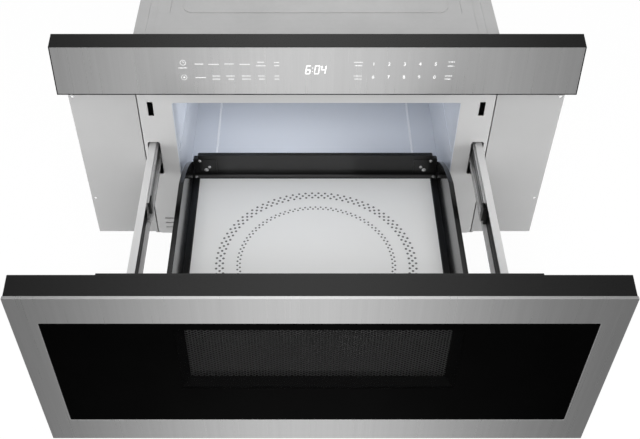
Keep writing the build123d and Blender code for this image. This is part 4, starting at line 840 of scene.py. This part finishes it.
bm = bmesh.new()
for low, high in heads_of("chassis_screws"):
    hex_head(bm, low, high)
fit(piece_of("hex_screws", bm), screw_steel, "cabinet", "screw_steel", "chassis_screws")

# ---- telescopic slides --------------------------------------------------------------------------
# Three nested rails a side, rolled from bright zinc-plated steel, run on two ball cages each. The
# innermost is fixed to a folded arm that carries the drawer front; painted shade darkens its web.
# Dark lines along the webs are painted shadows, the lighter ones on the innermost painted highlights.
def web_lines(finish, middle, pitch, width):
    """Painted lines along a rail, one at this height and one every pitch from it, in millimetres."""
    height = finish.axes(finish.place)[2] * 1000
    return abs((height - middle) % pitch - pitch / 2) > (pitch - width) / 2


rolled = Finish("slide_steel")
drawn = rolled.noise((600, 6, 600), 2)
web = abs(rolled.facing(0)) > SQUARELY          # the sideways webs are painted a little darker, with painted shadow lines
painted_shadow_lines = web_lines(rolled, 166.5, 13, 3.6)
painted_shade_webs = rolled.mix(web, rolled.mix(drawn, grey(206), grey(234)), rolled.mix(painted_shadow_lines, grey(196), grey(8)))
slide_steel = rolled.surface(painted_shade_webs, 0.22 + 0.10 * drawn + 0.1 * web, 0.3,
                             rolled.bump(drawn, 0.00002, 0.4))
web_shaded = Finish("web_shaded_steel")
drawn = web_shaded.noise((600, 6, 600), 2)
# the web of the innermost rail is painted near black, painted shade, with lighter painted highlight lines
web = abs(web_shaded.facing(0)) > SQUARELY
painted_highlight_lines = web_lines(web_shaded, 160, 14, 2.4)
painted_dark_webs = web_shaded.mix(web, web_shaded.mix(drawn, grey(226), grey(240)), web_shaded.mix(painted_highlight_lines, grey(14), grey(110)))
web_shaded_steel = web_shaded.surface(painted_dark_webs, 0.3 + 0.10 * drawn + 0.1 * web, 0.1,
                            web_shaded.bump(drawn, 0.00002, 0.4))
eased("moving_rails", "drawer_rails", 0.0005, web_shaded_steel, "drawer", "slide_steel")
eased("telescoping_rails", "middle_rails", 0.0005, slide_steel, "middle_slides", "slide_steel")
eased("cabinet_rails", "fixed_rails", 0.0005, slide_steel, "cabinet", "slide_steel")
matt = Finish("arm_steel")
cloud = matt.noise((20, 20, 20), 3)
arm_steel = matt.surface(matt.mix(cloud, grey(206), grey(216)), 0.45 + 0.1 * cloud, 0.2)
eased("front_arms", "drawer_arms", 0.0005, arm_steel, "drawer", "arm_steel")
STOP_ENDS = {-1: (-0.392, -0.378), 1: (-0.407, -0.394)}         # front and rear of each block
bm = copy_of("rail_end_stops")
for side, (front, rear) in STOP_ENDS.items():
    for y, outward in ((front, -1), (rear, 1)):
        block = [v for v in bm.verts if v.co.x * side > 0]
        edges = {e for v in block for e in v.link_edges}
        faces = {f for v in block for f in v.link_faces}
        bmesh.ops.bisect_plane(bm, geom=block + list(edges) + list(faces), dist=0.000001,
                               plane_co=(0, y, 0), plane_no=(0, outward, 0), clear_outer=True)
bmesh.ops.holes_fill(bm, edges=[e for e in bm.edges if e.is_boundary], sides=0)
round_edges(bm, 0.0005)
fit(piece_of("end_stops", bm), black_plastic, "middle_slides", "black_plastic", "rail_end_stops")
coat(slide_steel, "inner_ball_cages", "outer_ball_cages")
coat(zinc_sheet, "slide_supports")

# ---- drawer drive -------------------------------------------------------------------------------
# A geared motor on the base turns a steel pinion under a rack that runs back from the drawer front. The
# pinion is cut from bar, the rack is moulded nylon, and the bracket is folded from zinc-coated sheet.
machined = Finish("machined_steel")
fine = machined.noise((700, 80, 700), 2)
machined_steel = machined.surface(machined.mix(fine, grey(160), grey(184)), 0.30 + 0.1 * fine, 1.0)
coat(machined_steel, "drive_pinion")
nylon = Finish("white_plastic")
flow = nylon.noise((60, 60, 60), 2)
white_plastic = nylon.surface(nylon.mix(flow, grey(208), grey(220)), 0.42 + 0.1 * flow)
coat(white_plastic, "drive_rack")
coat(zinc_sheet, "drive_bracket")

# ---- interlocks ---------------------------------------------------------------------------------
# Microswitches on angle plates behind the latch slots; the hooks press their plungers when shut. Their
# bodies and plungers are moulded, and the plates are folded from zinc-coated sheet.
coat(white_plastic, "left_interlock_plunger", "right_interlock_plunger")
coat(black_plastic, "interlock_switches")
coat(zinc_sheet, "interlock_holders")
